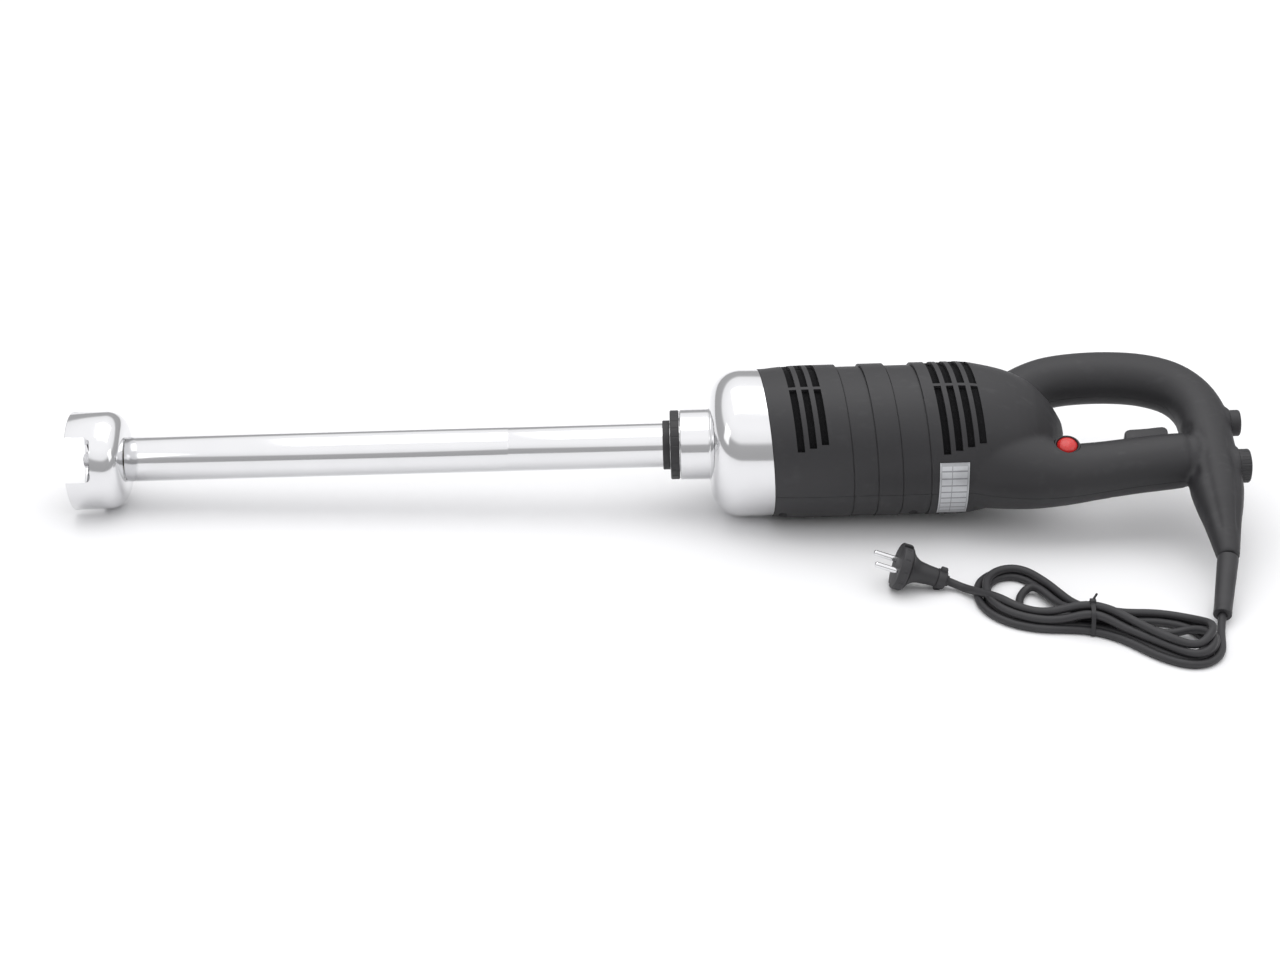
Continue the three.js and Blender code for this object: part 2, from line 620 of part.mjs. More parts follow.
function motor() {
  piece(handle, 'motor_neck', motorNeck(), STEEL);
  piece(handle, 'dome_cover', domeCover(), STEEL);
  const windows = [0, 90, 180, 270];
  const front = bracket(BRACKET_AT, BRACKET_R, BEARING_R, BRACKET_AT - 5, BRACKET_AT + BRACKET_THICK, windows);
  piece(handle, 'front_bracket', front, ALLOY);
  const bearingFront = BRACKET_AT - 4.5;
  piece(handle, 'front_bearing', ring(bearingFront, bearingFront + BEARING_WIDTH, BEARING_R, journalR), DARK_STEEL);
  const dogFront = HANDLE_DATUM + 2;
  piece(handle, 'motor_shaft', ring(dogFront + 2, REAR_BRACKET_AT + 13, MOTOR_SHAFT_R, 0, 20), DARK_STEEL);
  const hexagon = alongX(polygonShape(SOCKET_FLAT - SLIDE_GAP, 6), dogFront, dogFront + DOG_LENGTH);
  const dog = join(hexagon, ring(dogFront + DOG_LENGTH - 1, dogFront + DOG_LENGTH + 6, 10, 0, 24));
  piece(handle, 'motor_dog', cut(dog, ring(dogFront - 1, dogFront + 30, journalR, 0, 20)), DARK_STEEL);
  piece(handle, 'cooling_fan', coolingFan(), BLACK);
  piece(handle, 'stator_core', statorCore(), DARK_STEEL);
  piece(handle, 'field_coil_1', fieldCoil(90), COPPER);
  piece(handle, 'field_coil_2', fieldCoil(270), COPPER);
  piece(handle, 'armature_core', armatureCore(), DARK_STEEL);
  piece(handle, 'armature_winding', armatureWinding(), COPPER);
  const bars = ring(COMMUTATOR_AT, COMMUTATOR_AT + COMMUTATOR_LENGTH, COMMUTATOR_R, journalR, 24);
  piece(handle, 'commutator', bars, BRASS);
  [1, -1].forEach((side, i) => {
    piece(handle, `brush_holder_${i + 1}`, brushHolder(side), BRASS);
    piece(handle, `carbon_brush_${i + 1}`, carbonBrush(side), CARBON);
  });
  const rear = bracket(REAR_BRACKET_AT, REAR_BRACKET_R, REAR_BEARING_R, REAR_BRACKET_AT,
    REAR_BRACKET_AT + 11, [0, 90, 180, 270]);
  piece(handle, 'rear_bracket', rear, ALLOY);
  const rearBearing = ring(REAR_BRACKET_AT + 1, REAR_BRACKET_AT + 10, REAR_BEARING_R, journalR, 24);
  piece(handle, 'rear_bearing', rearBearing, DARK_STEEL);
  tieBoltAt.forEach((y, i) => {
    const back = REAR_BRACKET_AT + BRACKET_THICK + GAP;
    const shank = ring(BRACKET_AT - 1, back + 1, TIE_BOLT_R, 0, 12);
    const bolt = join(shank, ring(back, back + 3, TIE_BOLT_R + 1.6, 0, 12));
    piece(handle, `tie_bolt_${i + 1}`, bolt.translate(0, y, 0), STEEL);
  });
}

// ---- housing and grips ----------------------------------------------------------------------------

/** Outside of the motor housing, or its inside at a wall's depth, open at the front. */
function housingOutline(inset) {
  const front = HOUSING_FRONT - seamReach - (inset ? 5 : 1);
  return [[front, DOME_R - inset], [HOUSING_FRONT, DOME_R - inset], [590, HOUSING_R - 0.9 - inset],
    [HOUSING_SWELL, HOUSING_R - inset], [HOUSING_BACK, HOUSING_R - inset],
    [756, HOUSING_R - 2.5 - inset], [776 - inset / 3, HOUSING_R - 7.5 - inset],
    [793 - inset / 2, HOUSING_R - 14.9 - inset], [808 - inset, HOUSING_R - 27 - inset],
    [820 - inset, HOUSING_R - 42.5 - inset],
    [828 - inset, 0], [front, 0]];
}

// Sections of the grips: X, Z, half height in the loop's plane, half width.
const LOWER_GRIP = [[745, HOUSING_R - 49.5, 48, 46], [762, HOUSING_R - 39.5, 44, 43.5],
  [780, HOUSING_R - 29.5, 37, 37], [803, HOUSING_R - 21.5, 30.5, 31],
  [826, 45, 25.5, 25.8], [850, 42.4, 24, 23.6], [880, 38, 23.4, 23], [910, 34.3, 23.2, 23], [930, 32.6, 22, 22],
  [944, 32, 18, 18]];
const LOOP_GRIP = [[766, -12, 27, 29], [785.5, -37.3, 22.6, 24], [803.5, -52.4, 21.6, 22.5],
  [826, -61.2, 21.8, 22], [860, -64.3, 22.2, 22], [893, -61.7, 22.4, 22], [917, -53.7, 22.4, 22],
  [932, -41.7, 22, 21.6], [941.3, -25.3, 21.7, 21.3], [945, -5, 21.5, 21], [945.5, 45, 21.7, 21],
  [945.3, 66, 21.8, 20.5], [944.8, 86, 18.8, 18.5], [944.2, 104, 15, 15], [943, 138.5, 9.3, 9.3]];

const relief = new THREE.Vector3(RELIEF_TIP[0] - RELIEF_ROOT[0], 0, RELIEF_TIP[1] - RELIEF_ROOT[1]);

/** A slot through the wall, between two angles from the Y axis, on the Y side or the -Y side. */
function slot(x, from, to, side) {
  const shape = sectorShape(HOUSING_R - SHELL_WALL - 6, HOUSING_R + 4, from, to);
  const turn = side > 0 ? 0 : Math.PI;
  return slanted(alongX(shape, x - SLOT_WIDTH / 2, x + SLOT_WIDTH / 2, 2).rotateX(turn));
}

function slotField(at, count, reach, side) {
  return Array.from({ length: count }, (_, i) => {
    const far = reach - SLOT_REACH_STEP * i;
    const x = at + SLOT_PITCH * i;
    return [slot(x, SLOT_RIB, far, side), slot(x, -far, -SLOT_RIB, side)];
  }).flat();
}

/** A grip groove that is deepest on the -Z side and runs out at the +Z side. */
function groove([from, to]) {
  const round = 1.2;
  const floor = HOUSING_R - GROOVE_DEPTH;
  const outline = [[from, HOUSING_R + 6], [to, HOUSING_R + 6], [to, HOUSING_R], [to - round, floor],
    [from + round, floor], [from, HOUSING_R]];
  return slanted(turned(outline, 28).translate(0, 0, GROOVE_DEPTH * 0.8));
}

const padFront = COLUMN_BACK - 14;
const knobPocketR = KNOB_R + SLIDE_GAP;
const latchPadR = LATCH_BUTTON_R + 2;

/** A disc along X at a place on the back of the grip column. */
function discX(z, from, to, radius, sides = 20) {
  return ring(from, to, radius, 0, sides).translate(0, 0, z);
}

function outerBody() {
  return join(turned(housingOutline(0), 32), grip(LOWER_GRIP, 0), grip(LOOP_GRIP, 0),
    discX(LATCH_BUTTON_Z, padFront, COLUMN_BACK, latchPadR), discX(KNOB_Z, padFront, COLUMN_BACK, KNOB_R + 2.4));
}

function innerSpace() {
  const barrel = turned(housingOutline(SHELL_WALL), 24);
  const hollow = join(barrel, grip(LOWER_GRIP, SHELL_WALL), grip(LOOP_GRIP, SHELL_WALL));
  const pads = [discX(LATCH_BUTTON_Z, padFront - 2, COLUMN_BACK + 4, latchPadR),
    discX(KNOB_Z, padFront - 2, COLUMN_BACK + 4, KNOB_R + 2.4)];
  return cut(hollow, ...pads);
}

const bossR = 6.5;
const reliefBoreR = 6;

function bosses() {
  return SHELL_SCREWS.map(([x, z]) => pinY([x, z], -60, 60, bossR));
}

function shellOpenings() {
  const openings = [
    slanted(box([HOUSING_FRONT - 60, -90, -90], [HOUSING_FRONT, 90, 90])),
    ...slotField(FRONT_SLOT_AT, FRONT_SLOTS, FRONT_SLOT_REACH, 1),
    ...slotField(FRONT_SLOT_AT, FRONT_SLOTS, FRONT_SLOT_REACH, -1),
    ...slotField(REAR_SLOT_AT, REAR_SLOTS, REAR_SLOT_REACH, 1),
    ...slotField(REAR_SLOT_AT, REAR_SLOTS, REAR_SLOT_REACH, -1),
    ...GROOVES.map(groove),
    box([TRIGGER_AT - SLIDE_GAP, -TRIGGER_WIDTH / 2 - SLIDE_GAP, 5],
      [TRIGGER_AT + TRIGGER_LENGTH + SLIDE_GAP, TRIGGER_WIDTH / 2 + SLIDE_GAP, 30]),
    pinY(RED_BUTTON, 4, 40, RED_BUTTON_R + SLIDE_GAP + BEZEL_WALL + GAP, 24),
    discX(LATCH_BUTTON_Z, padFront - 20, COLUMN_BACK + 4, LATCH_BUTTON_R + SLIDE_GAP),
    discX(KNOB_Z, KNOB_FRONT - GAP, COLUMN_BACK + 4, knobPocketR),
    discX(KNOB_Z, padFront - 4, COLUMN_BACK, 4.3, 16),
    ...SHELL_SCREWS.map(([x, z, seat]) => pinY([x, z], -70, -seat, SCREW_HEAD_R + GAP)),
    ...SHELL_SCREWS.map(([x, z]) => pinY([x, z], -40, SCREW_REACH + 2, SCREW_R + GAP)),
  ];
  const exit = new THREE.CylinderGeometry(reliefBoreR + GAP, reliefBoreR + GAP, 34, 20).rotateX(Math.PI / 2);
  return [...openings, exit.translate(943, 0, 130)];
}

function housing() {
  const outer = outerBody();
  const hollow = cut(outer, innerSpace());
  const bossed = join(hollow, common(join(...bosses()), outer));
  const finished = cut(bossed, ...shellOpenings());
  const upper = common(finished, box([500, GAP / 2, -150], [1100, 120, 250]));
  const lower = common(finished, box([500, -120, -150], [1100, -GAP / 2, 250]));
  piece(handle, 'housing_upper', upper, BLACK);
  piece(handle, 'housing_lower', lower, BLACK);
  SHELL_SCREWS.forEach(([x, z, seat], i) => {
    const head = pinY([x, z], -seat - SCREW_HEAD_THICK, -seat - GAP, SCREW_HEAD_R, 12);
    const shank = pinY([x, z], -seat - SCREW_HEAD_THICK, SCREW_REACH, SCREW_R, 12);
    piece(handle, `shell_screw_${i + 1}`, join(head, shank), DARK_STEEL);
  });
  const plate = sectorShape(HOUSING_R + GAP, HOUSING_R + GAP + PLATE_THICK, 90 - PLATE_REACH, 90 + PLATE_REACH);
  piece(handle, 'rating_plate', alongX(plate, PLATE_AT, PLATE_AT + PLATE_WIDTH, 12), LABEL);
}

// ---- controls -------------------------------------------------------------------------------------

function trigger() {
  const top = LOWER_GRIP_TOP - TRIGGER_PROUD;
  const [front, back] = [TRIGGER_AT, TRIGGER_AT + TRIGGER_LENGTH];
  const shape = outlineShape([[front, 24], [front, top + 6.5], [front + 1.6, top + 3.6], [front + 4, top + 2.4],
    [back - 5, top], [back - 1.6, top + 1], [back, top + 4], [back, 24]]);
  return alongY(shape, TRIGGER_WIDTH / 2);
}

/** A domed cap about X, hollowed from its inner end. */
function capX(z, front, back, radius, crown) {
  const outline = [[front, radius], [back - crown - 1.5, radius], [back - crown, radius - 1.2],
    [back - crown / 3, radius * 0.62], [back, 0], [back - 5, 0], [back - 5, radius - 2.5], [front, radius - 2.5]];
  return turned(outline, 20).translate(0, 0, z);
}

function redButton() {
  const crown = 2.2;
  const low = RED_BUTTON_TOP - 12;
  const outline = [[low, RED_BUTTON_R], [RED_BUTTON_TOP - crown - 1, RED_BUTTON_R],
    [RED_BUTTON_TOP - crown, RED_BUTTON_R - 0.8], [RED_BUTTON_TOP - crown / 3, RED_BUTTON_R * 0.6],
    [RED_BUTTON_TOP, 0], [low, 0]];
  return turned(outline, 24).rotateZ(Math.PI / 2).translate(RED_BUTTON[0], 0, RED_BUTTON[1]);
}

function bezel() {
  const bore = RED_BUTTON_R + SLIDE_GAP;
  const outer = bore + BEZEL_WALL;
  return turned([[8, outer], [BEZEL_TOP - 1, outer], [BEZEL_TOP, outer - 0.9], [BEZEL_TOP, bore], [8, bore]], 28)
    .rotateZ(Math.PI / 2).translate(RED_BUTTON[0], 0, RED_BUTTON[1]);
}

/** The speed knob: a skirt in the column's pocket, a ribbed rim and a slightly raised face. */
function speedKnob() {
  const outline = [[KNOB_FRONT, KNOB_R], [KNOB_BACK - 2.6, KNOB_R], [KNOB_BACK - 1, KNOB_R - 1.2],
    [KNOB_BACK, KNOB_R - 5], [KNOB_BACK, 0], [KNOB_FRONT, 0]];
  const body = turned(outline, 24);
  const ribs = Array.from({ length: KNOB_RIBS }, (_, i) =>
    ring(COLUMN_BACK + 1, KNOB_BACK + 1, 0.9, 0, 6).translate(0, KNOB_R + 0.3, 0)
      .rotateX((2 * Math.PI * i) / KNOB_RIBS));
  const shaft = ring(KNOB_FRONT - 12, KNOB_FRONT + 1, 3.2, 0, 16);
  return join(cut(body, ...ribs), shaft).translate(0, 0, KNOB_Z);
}

function potentiometer() {
  const back = KNOB_FRONT - 12 - GAP;
  return ring(back - 9, back, 9, 0, 24).translate(0, 0, KNOB_Z);
}

function speedBoard() {
  const board = box([803, -13, 47], [851, 13, 48.6]);
  const heatSink = box([806, -10, 48], [824, 10, 55]);
  const capacitor = ring(827, 838, 3.6, 0, 12).translate(0, -5, 52);
  const terminal = box([838, 1, 48], [848, 10, 55]);
  return join(board, heatSink, capacitor, terminal);
}

function triggerSwitch() {
  const middle = TRIGGER_AT + TRIGGER_LENGTH / 2;
  const top = 24 + TRIGGER_TRAVEL + 2 * GAP;
  return join(box([middle - 14, -5.5, top + 2], [middle + 14, 5.5, top + 17]),
    box([middle - 3, -2, top], [middle + 3, 2, top + 3]));
}

function cordClamp() {
  const saddle = box([937, -9.5, 92], [952, 9.5, 99]);
  return cut(saddle, box([936, -9.6, 90], [953, -5.5, 94]),
    ...[-6.2, 6.2].map((y) => box([943, y - 1.7, 91], [946.4, y + 1.7, 100])),
    ring(936, 953, CORD_D / 2, 0, 16).translate(0, 0, 89.5));
}

function controls() {
  piece(handle, 'trigger', trigger(), BLACK);
  piece(handle, 'trigger_switch', triggerSwitch(), BLACK);
  piece(handle, 'safety_button', redButton(), RED);
  piece(handle, 'button_bezel', bezel(), BLACK);
  const latch = capX(LATCH_BUTTON_Z, COLUMN_BACK - 10, LATCH_BUTTON_BACK, LATCH_BUTTON_R, 2);
  piece(handle, 'latch_button', latch, BLACK);
  piece(handle, 'speed_knob', speedKnob(), BLACK);
  piece(handle, 'speed_potentiometer', potentiometer(), DARK_STEEL);
  piece(handle, 'speed_board', speedBoard(), BOARD);
  piece(handle, 'filter_capacitor', ring(756, 786, 11, 0, 20).translate(0, 18, -6), LABEL);
  piece(handle, 'cord_clamp', cordClamp(), BLACK);
}

// ---- strain relief, lead and plug -----------------------------------------------------------------

/** The rubber sleeve on the lead: a plug end in the grip and a ribbed taper outside it. */
function strainRelief() {
  const length = relief.length();
  const ribs = 5;
  const profile = [[-16, reliefBoreR - 1], [-GAP, reliefBoreR - 1], [0, RELIEF_ROOT_R]];
  for (let i = 1; i <= ribs; i += 1) {
    const share = i / ribs;
    const radius = RELIEF_ROOT_R + (RELIEF_TIP_R - RELIEF_ROOT_R) * share;
    profile.push([length * share - 1.6, radius], [length * share, i === ribs ? radius - 0.6 : radius - 0.5]);
  }
  const bore = CORD_D / 2 + GAP;
  const sleeve = turned([...profile, [length, bore], [-16, bore]], 14);
  const lean = Math.atan2(relief.z, relief.x);
  return sleeve.rotateY(-lean).translate(RELIEF_ROOT[0], 0, RELIEF_ROOT[1]);
}

/** One closed solid of the hank's outer shape, lying on the floor. */
function cordHank() {
  const points = HANK_OUTLINE.map(([x, y]) => new THREE.Vector3(x, y, 0));
  const curve = new THREE.CatmullRomCurve3(points, true);
  const shape = new THREE.Shape(curve.getPoints(40).slice(0, -1).map(({ x, y }) => new THREE.Vector2(x, y)));
  return new THREE.ExtrudeGeometry(shape, { depth: HANK_HEIGHT, bevelEnabled: false }).translate(0, 0, 0.2);
}

function hankTie() {
  const [x, y] = TIE_AT;
  const band = box([x - 2.2, y - 16, HANK_HEIGHT + 0.5], [x + 2.2, y + 14, HANK_HEIGHT + 2]);
  const tail = box([x - 1.6, y + 2, HANK_HEIGHT + 1], [x + 1.6, y + 4, HANK_HEIGHT + 12]);
  return join(band, tail);
}

/** A two-pin earthed plug: a round face, a waisted body and a short sleeve for the lead. */
function plug() {
  const face = new THREE.Vector3(...PLUG_FACE);
  const tail = new THREE.Vector3(...PLUG_TAIL);
  const length = face.distanceTo(tail);
  const group = new THREE.Group();
  const body = turned([[0, PLUG_R - 1], [1, PLUG_R], [8, PLUG_R], [10, PLUG_R - 1.5], [13, PLUG_R - 7], [21, 8.5],
    [length - 10, 7], [length - 9.5, PLUG_NUT_R], [length - 3, PLUG_NUT_R], [length - 2, 5.4], [length, 4.6],
    [length, 0], [0, 0]], 20);
  const pinHoles = [1, -1].map((side) =>
    ring(-1, 6, PLUG_PIN_R + GAP, 0, 12).translate(0, 0, (side * PLUG_PIN_PITCH) / 2));
  piece(group, 'plug_body', cut(body, ...pinHoles), RUBBER);
  [1, -1].forEach((side, i) => {
    const pin = ring(-PLUG_PIN_LENGTH, 5.6, PLUG_PIN_R, 0, 12).translate(0, 0, (side * PLUG_PIN_PITCH) / 2);
    piece(group, `plug_pin_${i + 1}`, pin, STEEL);
  });
  const along = tail.clone().sub(face).normalize();
  const side = new THREE.Vector3(0, 0, 1).cross(along).normalize();
  const up = along.clone().cross(side);
  group.matrixAutoUpdate = false;
  group.matrix.makeBasis(along, up.clone().negate(), side).setPosition(face);
  return group;
}

function mainsLead() {
  piece(lead, 'cord_lead', cordTube(LEAD_ROUTE, CORD_D), RUBBER);
  piece(lead, 'cord_tail', cordTube(TAIL_ROUTE, CORD_D), RUBBER);
  piece(lead, 'cord_hank', cordHank(), RUBBER);
  piece(lead, 'hank_tie', hankTie(), BLACK);
  lead.add(plug());
}

// ---- the object -----------------------------------------------------------------------------------

shaftUnit();
motor();
housing();
controls();
piece(handle, 'strain_relief', strainRelief(), RUBBER);
mainsLead();

/** Lay the tool down: the bell and the front of the housing touch the floor, the loop leans over. */
function layDown() {
  const posed = new THREE.Group();
  tool.rotation.x = rad(180 - 90 + LOOP_TILT);
  posed.add(tool);
  posed.rotation.y = -Math.atan2(HOUSING_R - BELL_R, HOUSING_SWELL + handle.position.x);
  posed.updateMatrixWorld(true);
  const bounds = new THREE.Box3().setFromObject(posed, true);
  const middle = bounds.getCenter(new THREE.Vector3());
  posed.position.set(-middle.x, -middle.y, -bounds.min.z);
  return posed;
}

/** Bring the lead to the tip of the strain relief. */
function bringLead() {
  const tip = handle.localToWorld(new THREE.Vector3(RELIEF_TIP[0], 0, RELIEF_TIP[1]));
  lead.position.set(tip.x - RELIEF_TIP_HOME[0], tip.y - RELIEF_TIP_HOME[1], 0);
  return lead;
}

const blender = new THREE.Group();
const laid = layDown();
laid.updateMatrixWorld(true);
blender.add(laid, bringLead());

export default blender;
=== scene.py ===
"""A heavy-duty stick blender on a pale studio floor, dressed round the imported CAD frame.

Shapes are written in millimetres in the tool's own frame: X along the tool from the rim of the bell
to the back of the handle, Z in the plane of the handle loop towards the mains lead, Y square to that
plane. The lead and plug are written in millimetres in the part frame, where the floor is z = 0.
"""

from __future__ import annotations

import json
import logging
import math
from dataclasses import dataclass
from enum import Enum
from typing import Iterable, Sequence

import bmesh
import bpy
import numpy as np
from mathutils import Matrix, Vector


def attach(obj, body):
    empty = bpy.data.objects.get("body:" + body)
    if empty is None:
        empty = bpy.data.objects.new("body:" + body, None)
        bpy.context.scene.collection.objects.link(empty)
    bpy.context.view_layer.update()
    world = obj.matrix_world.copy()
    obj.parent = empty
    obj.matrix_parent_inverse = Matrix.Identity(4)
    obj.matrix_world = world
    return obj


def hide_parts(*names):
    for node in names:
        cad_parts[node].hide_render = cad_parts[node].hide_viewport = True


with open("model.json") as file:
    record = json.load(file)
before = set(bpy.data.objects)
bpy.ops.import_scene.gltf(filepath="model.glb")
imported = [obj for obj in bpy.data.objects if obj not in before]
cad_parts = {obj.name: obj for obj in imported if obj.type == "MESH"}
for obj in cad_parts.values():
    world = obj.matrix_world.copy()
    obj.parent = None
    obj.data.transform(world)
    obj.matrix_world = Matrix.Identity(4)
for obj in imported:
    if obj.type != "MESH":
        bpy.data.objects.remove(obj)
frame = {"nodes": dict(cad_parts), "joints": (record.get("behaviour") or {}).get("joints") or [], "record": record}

log = logging.getLogger("stick_blender")
MM = 0.001
MOTOR_JOINT_X = 600.0
SLANT = 0.115

Point = tuple[float, float]
Triple = tuple[float, float, float]


class Body(Enum):
    """The CAD bodies that visible pieces ride on."""

    MOTOR = "motor_unit"
    SHAFT = "shaft_unit"
    COLLAR = "collar"
    SHAFT_ROTOR = "shaft_rotor"
    TRIGGER = "trigger"
    SAFETY = "safety_button"
    LATCH = "latch_button"
    KNOB = "speed_knob"


class Slot(Enum):
    """The record's material slots."""

    STEEL = "steel"
    DARK_STEEL = "dark_steel"
    ALLOY = "alloy"
    BLACK = "black_plastic"
    RED = "red_plastic"
    RUBBER = "rubber"
    BRASS = "brass"
    COPPER = "copper"
    CARBON = "carbon"
    LABEL = "label"
    BOARD = "board"


class Solver(Enum):
    """The boolean operations that the workshop uses."""

    CUT = "DIFFERENCE"
    JOIN = "UNION"
    KEEP = "INTERSECT"


# ---------------------------------------------------------------------------------------------------
# Shader maths


class Wire:
    """A shader value that takes part in Python expressions by adding Math nodes."""

    def __init__(self, paint: "Paint", socket: bpy.types.NodeSocket) -> None:
        """Wrap one output socket of a material's node tree."""
        self.paint = paint
        self.socket = socket

    def _math(self, operation: str, *values: "Wire | float") -> "Wire":
        """Add one Math node."""
        inputs = dict(enumerate(values))
        return self.paint.node("ShaderNodeMath", {"operation": operation}, inputs)

    def __add__(self, other: "Wire | float") -> "Wire":
        """Sum."""
        return self._math("ADD", self, other)

    __radd__ = __add__

    def __sub__(self, other: "Wire | float") -> "Wire":
        """Difference."""
        return self._math("SUBTRACT", self, other)

    def __rsub__(self, other: float) -> "Wire":
        """Reflected difference, as in 1 - mask."""
        return self._math("SUBTRACT", other, self)

    def __mul__(self, other: "Wire | float") -> "Wire":
        """Product."""
        return self._math("MULTIPLY", self, other)

    __rmul__ = __mul__

    def __truediv__(self, other: "Wire | float") -> "Wire":
        """Quotient."""
        return self._math("DIVIDE", self, other)

    def clamp(self, low: float, high: float) -> "Wire":
        """Hold the value between two limits."""
        return self._math("MINIMUM", self._math("MAXIMUM", self, low), high)

    def above(self, edge: float) -> "Wire":
        """1 where the value is over an edge, else 0."""
        return self._math("GREATER_THAN", self, edge)


class Paint:
    """A material under construction."""

    def __init__(self, name: str) -> None:
        """Start an empty node tree with a Principled shader on its output.

        Args:
            name: The material's name.
        """
        self.material = bpy.data.materials.new(name)
        self.material.use_nodes = True
        self.tree = self.material.node_tree
        self.tree.nodes.clear()
        out = self.tree.nodes.new("ShaderNodeOutputMaterial")
        self.shader = self.tree.nodes.new("ShaderNodeBsdfPrincipled")
        self.tree.links.new(self.shader.outputs[0], out.inputs["Surface"])

    def node(self, kind: str, settings: dict[str, object] | None = None,
             inputs: dict[object, object] | None = None, output: object = 0) -> Wire:
        """Add one node.

        Args:
            kind: The node's type name.
            settings: Properties set first.
            inputs: Values or wires by socket name or number.
            output: The output socket to return.

        Returns:
            The chosen output as a wire.
        """
        made = self.tree.nodes.new(kind)
        for name, value in (settings or {}).items():
            setattr(made, name, value)
        for name, value in (inputs or {}).items():
            if isinstance(value, Wire):
                self.tree.links.new(value.socket, made.inputs[name])
            else:
                made.inputs[name].default_value = value
        return Wire(self, made.outputs[output])

    def place(self, scale: Triple = (1.0, 1.0, 1.0)) -> Wire:
        """Object coordinates, stretched along each axis."""
        where = self.node("ShaderNodeTexCoord", output="Object")
        return self.node("ShaderNodeMapping", inputs={"Vector": where, "Scale": scale})

    def noise(self, scale: float, detail: float = 2.0, stretch: Triple = (1.0, 1.0, 1.0)) -> Wire:
        """Soft noise from 0 to 1 over the object's own coordinates."""
        inputs = {"Vector": self.place(stretch), "Scale": scale, "Detail": detail}
        return self.node("ShaderNodeTexNoise", inputs=inputs)

    def mix(self, amount: Wire | float, first: Sequence[float], second: Sequence[float]) -> Wire:
        """Blend two colours."""
        inputs = {0: amount, 6: (*first, 1.0), 7: (*second, 1.0)}
        return self.node("ShaderNodeMix", {"data_type": "RGBA"}, inputs, output=2)

    def bump(self, height: Wire, strength: float, distance: float) -> Wire:
        """A normal bent by a height."""
        inputs = {"Height": height, "Strength": strength, "Distance": distance}
        return self.node("ShaderNodeBump", inputs=inputs, output="Normal")

    def set(self, **sockets: object) -> "Paint":
        """Feed the shader's sockets; underscores in a name stand for spaces.

        Args:
            **sockets: Values or wires by socket name.

        Returns:
            The same paint.
        """
        for name, value in sockets.items():
            socket = self.shader.inputs[name.replace("_", " ")]
            if isinstance(value, Wire):
                self.tree.links.new(value.socket, socket)
            else:
                socket.default_value = value
        return self


# ---------------------------------------------------------------------------------------------------
# Finishes


@dataclass(frozen=True)
class TurnedSteel:
    """Polished stainless steel with the fine rings of a lathe, faint smears and soft wear."""

    name: str = "polished_steel"
    colour: Triple = (0.78, 0.78, 0.79)
    rough: float = 0.09
    spread: float = 0.10
    ring_bump: float = 0.05

    def paint(self) -> bpy.types.Material:
        """Build the material.

        Returns:
            The material.
        """
        paint = Paint(self.name)
        rings = paint.noise(260.0, 3.0, (6.0, 0.35, 0.35))
        smears = paint.noise(22.0, 4.0)
        worn = (smears - 0.5).clamp(0.0, 0.5)
        tint = paint.mix(smears, self.colour, [0.93 * part for part in self.colour])
        paint.set(Base_Color=tint, Metallic=1.0,
                  Roughness=self.rough + self.spread * rings * 0.5 + worn * 0.18,
                  Normal=paint.bump(rings, self.ring_bump, 0.00012))
        return paint.material


@dataclass(frozen=True)
class MouldedPlastic:
    """Moulded black plastic: a fine spark-eroded grain, uneven sheen and faint scuffs."""

    name: str = "moulded_black"
    colour: Triple = (0.016, 0.0155, 0.0175)
    worn: Triple = (0.034, 0.033, 0.036)
    rough: float = 0.46
    grain: float = 1500.0
    grain_bump: float = 0.22

    def paint(self) -> bpy.types.Material:
        """Build the material.

        Returns:
            The material.
        """
        paint = Paint(self.name)
        grain = paint.noise(self.grain, 2.0)
        cloud = paint.noise(14.0, 3.0)
        scuff = (paint.noise(75.0, 6.0, (1.0, 2.4, 1.0)) - 0.57).clamp(0.0, 0.25) * 2.6
        tint = paint.mix((scuff * 0.6 + cloud * 0.35).clamp(0.0, 1.0), self.colour, self.worn)
        paint.set(Base_Color=tint, Roughness=self.rough + cloud * 0.14 - scuff * 0.12, IOR=1.5,
                  Normal=paint.bump(grain, self.grain_bump, 0.00016))
        return paint.material


@dataclass(frozen=True)
class GlossPlastic:
    """Glossy coloured plastic with slight cloudiness and fingertip smears."""

    name: str = "gloss_red"
    colour: Triple = (0.66, 0.022, 0.020)
    deep: Triple = (0.48, 0.012, 0.012)
    rough: float = 0.20

    def paint(self) -> bpy.types.Material:
        """Build the material.

        Returns:
            The material.
        """
        paint = Paint(self.name)
        cloud = paint.noise(180.0, 3.0)
        paint.set(Base_Color=paint.mix(cloud, self.colour, self.deep), Roughness=self.rough + cloud * 0.14,
                  Coat_Weight=0.35, Coat_Roughness=0.12, Normal=paint.bump(cloud, 0.05, 0.0002))
        return paint.material


@dataclass(frozen=True)
class SoftRubber:
    """Soft black PVC: dull, slightly dusty, with a fine grain; the drawn lines along it are not modelled."""

    name: str = "lead_rubber"
    colour: Triple = (0.017, 0.0165, 0.0185)
    dust: Triple = (0.046, 0.045, 0.048)
    rough: float = 0.46

    def paint(self) -> bpy.types.Material:
        """Build the material.

        Returns:
            The material.
        """
        paint = Paint(self.name)
        cloud = paint.noise(45.0, 4.0)
        grain = paint.noise(1900.0, 1.0)
        tint = paint.mix((cloud * 0.8 - 0.1).clamp(0.0, 1.0), self.colour, self.dust)
        paint.set(Base_Color=tint, Roughness=self.rough + cloud * 0.16,
                  Normal=paint.bump(grain, 0.16, 0.00012))
        return paint.material


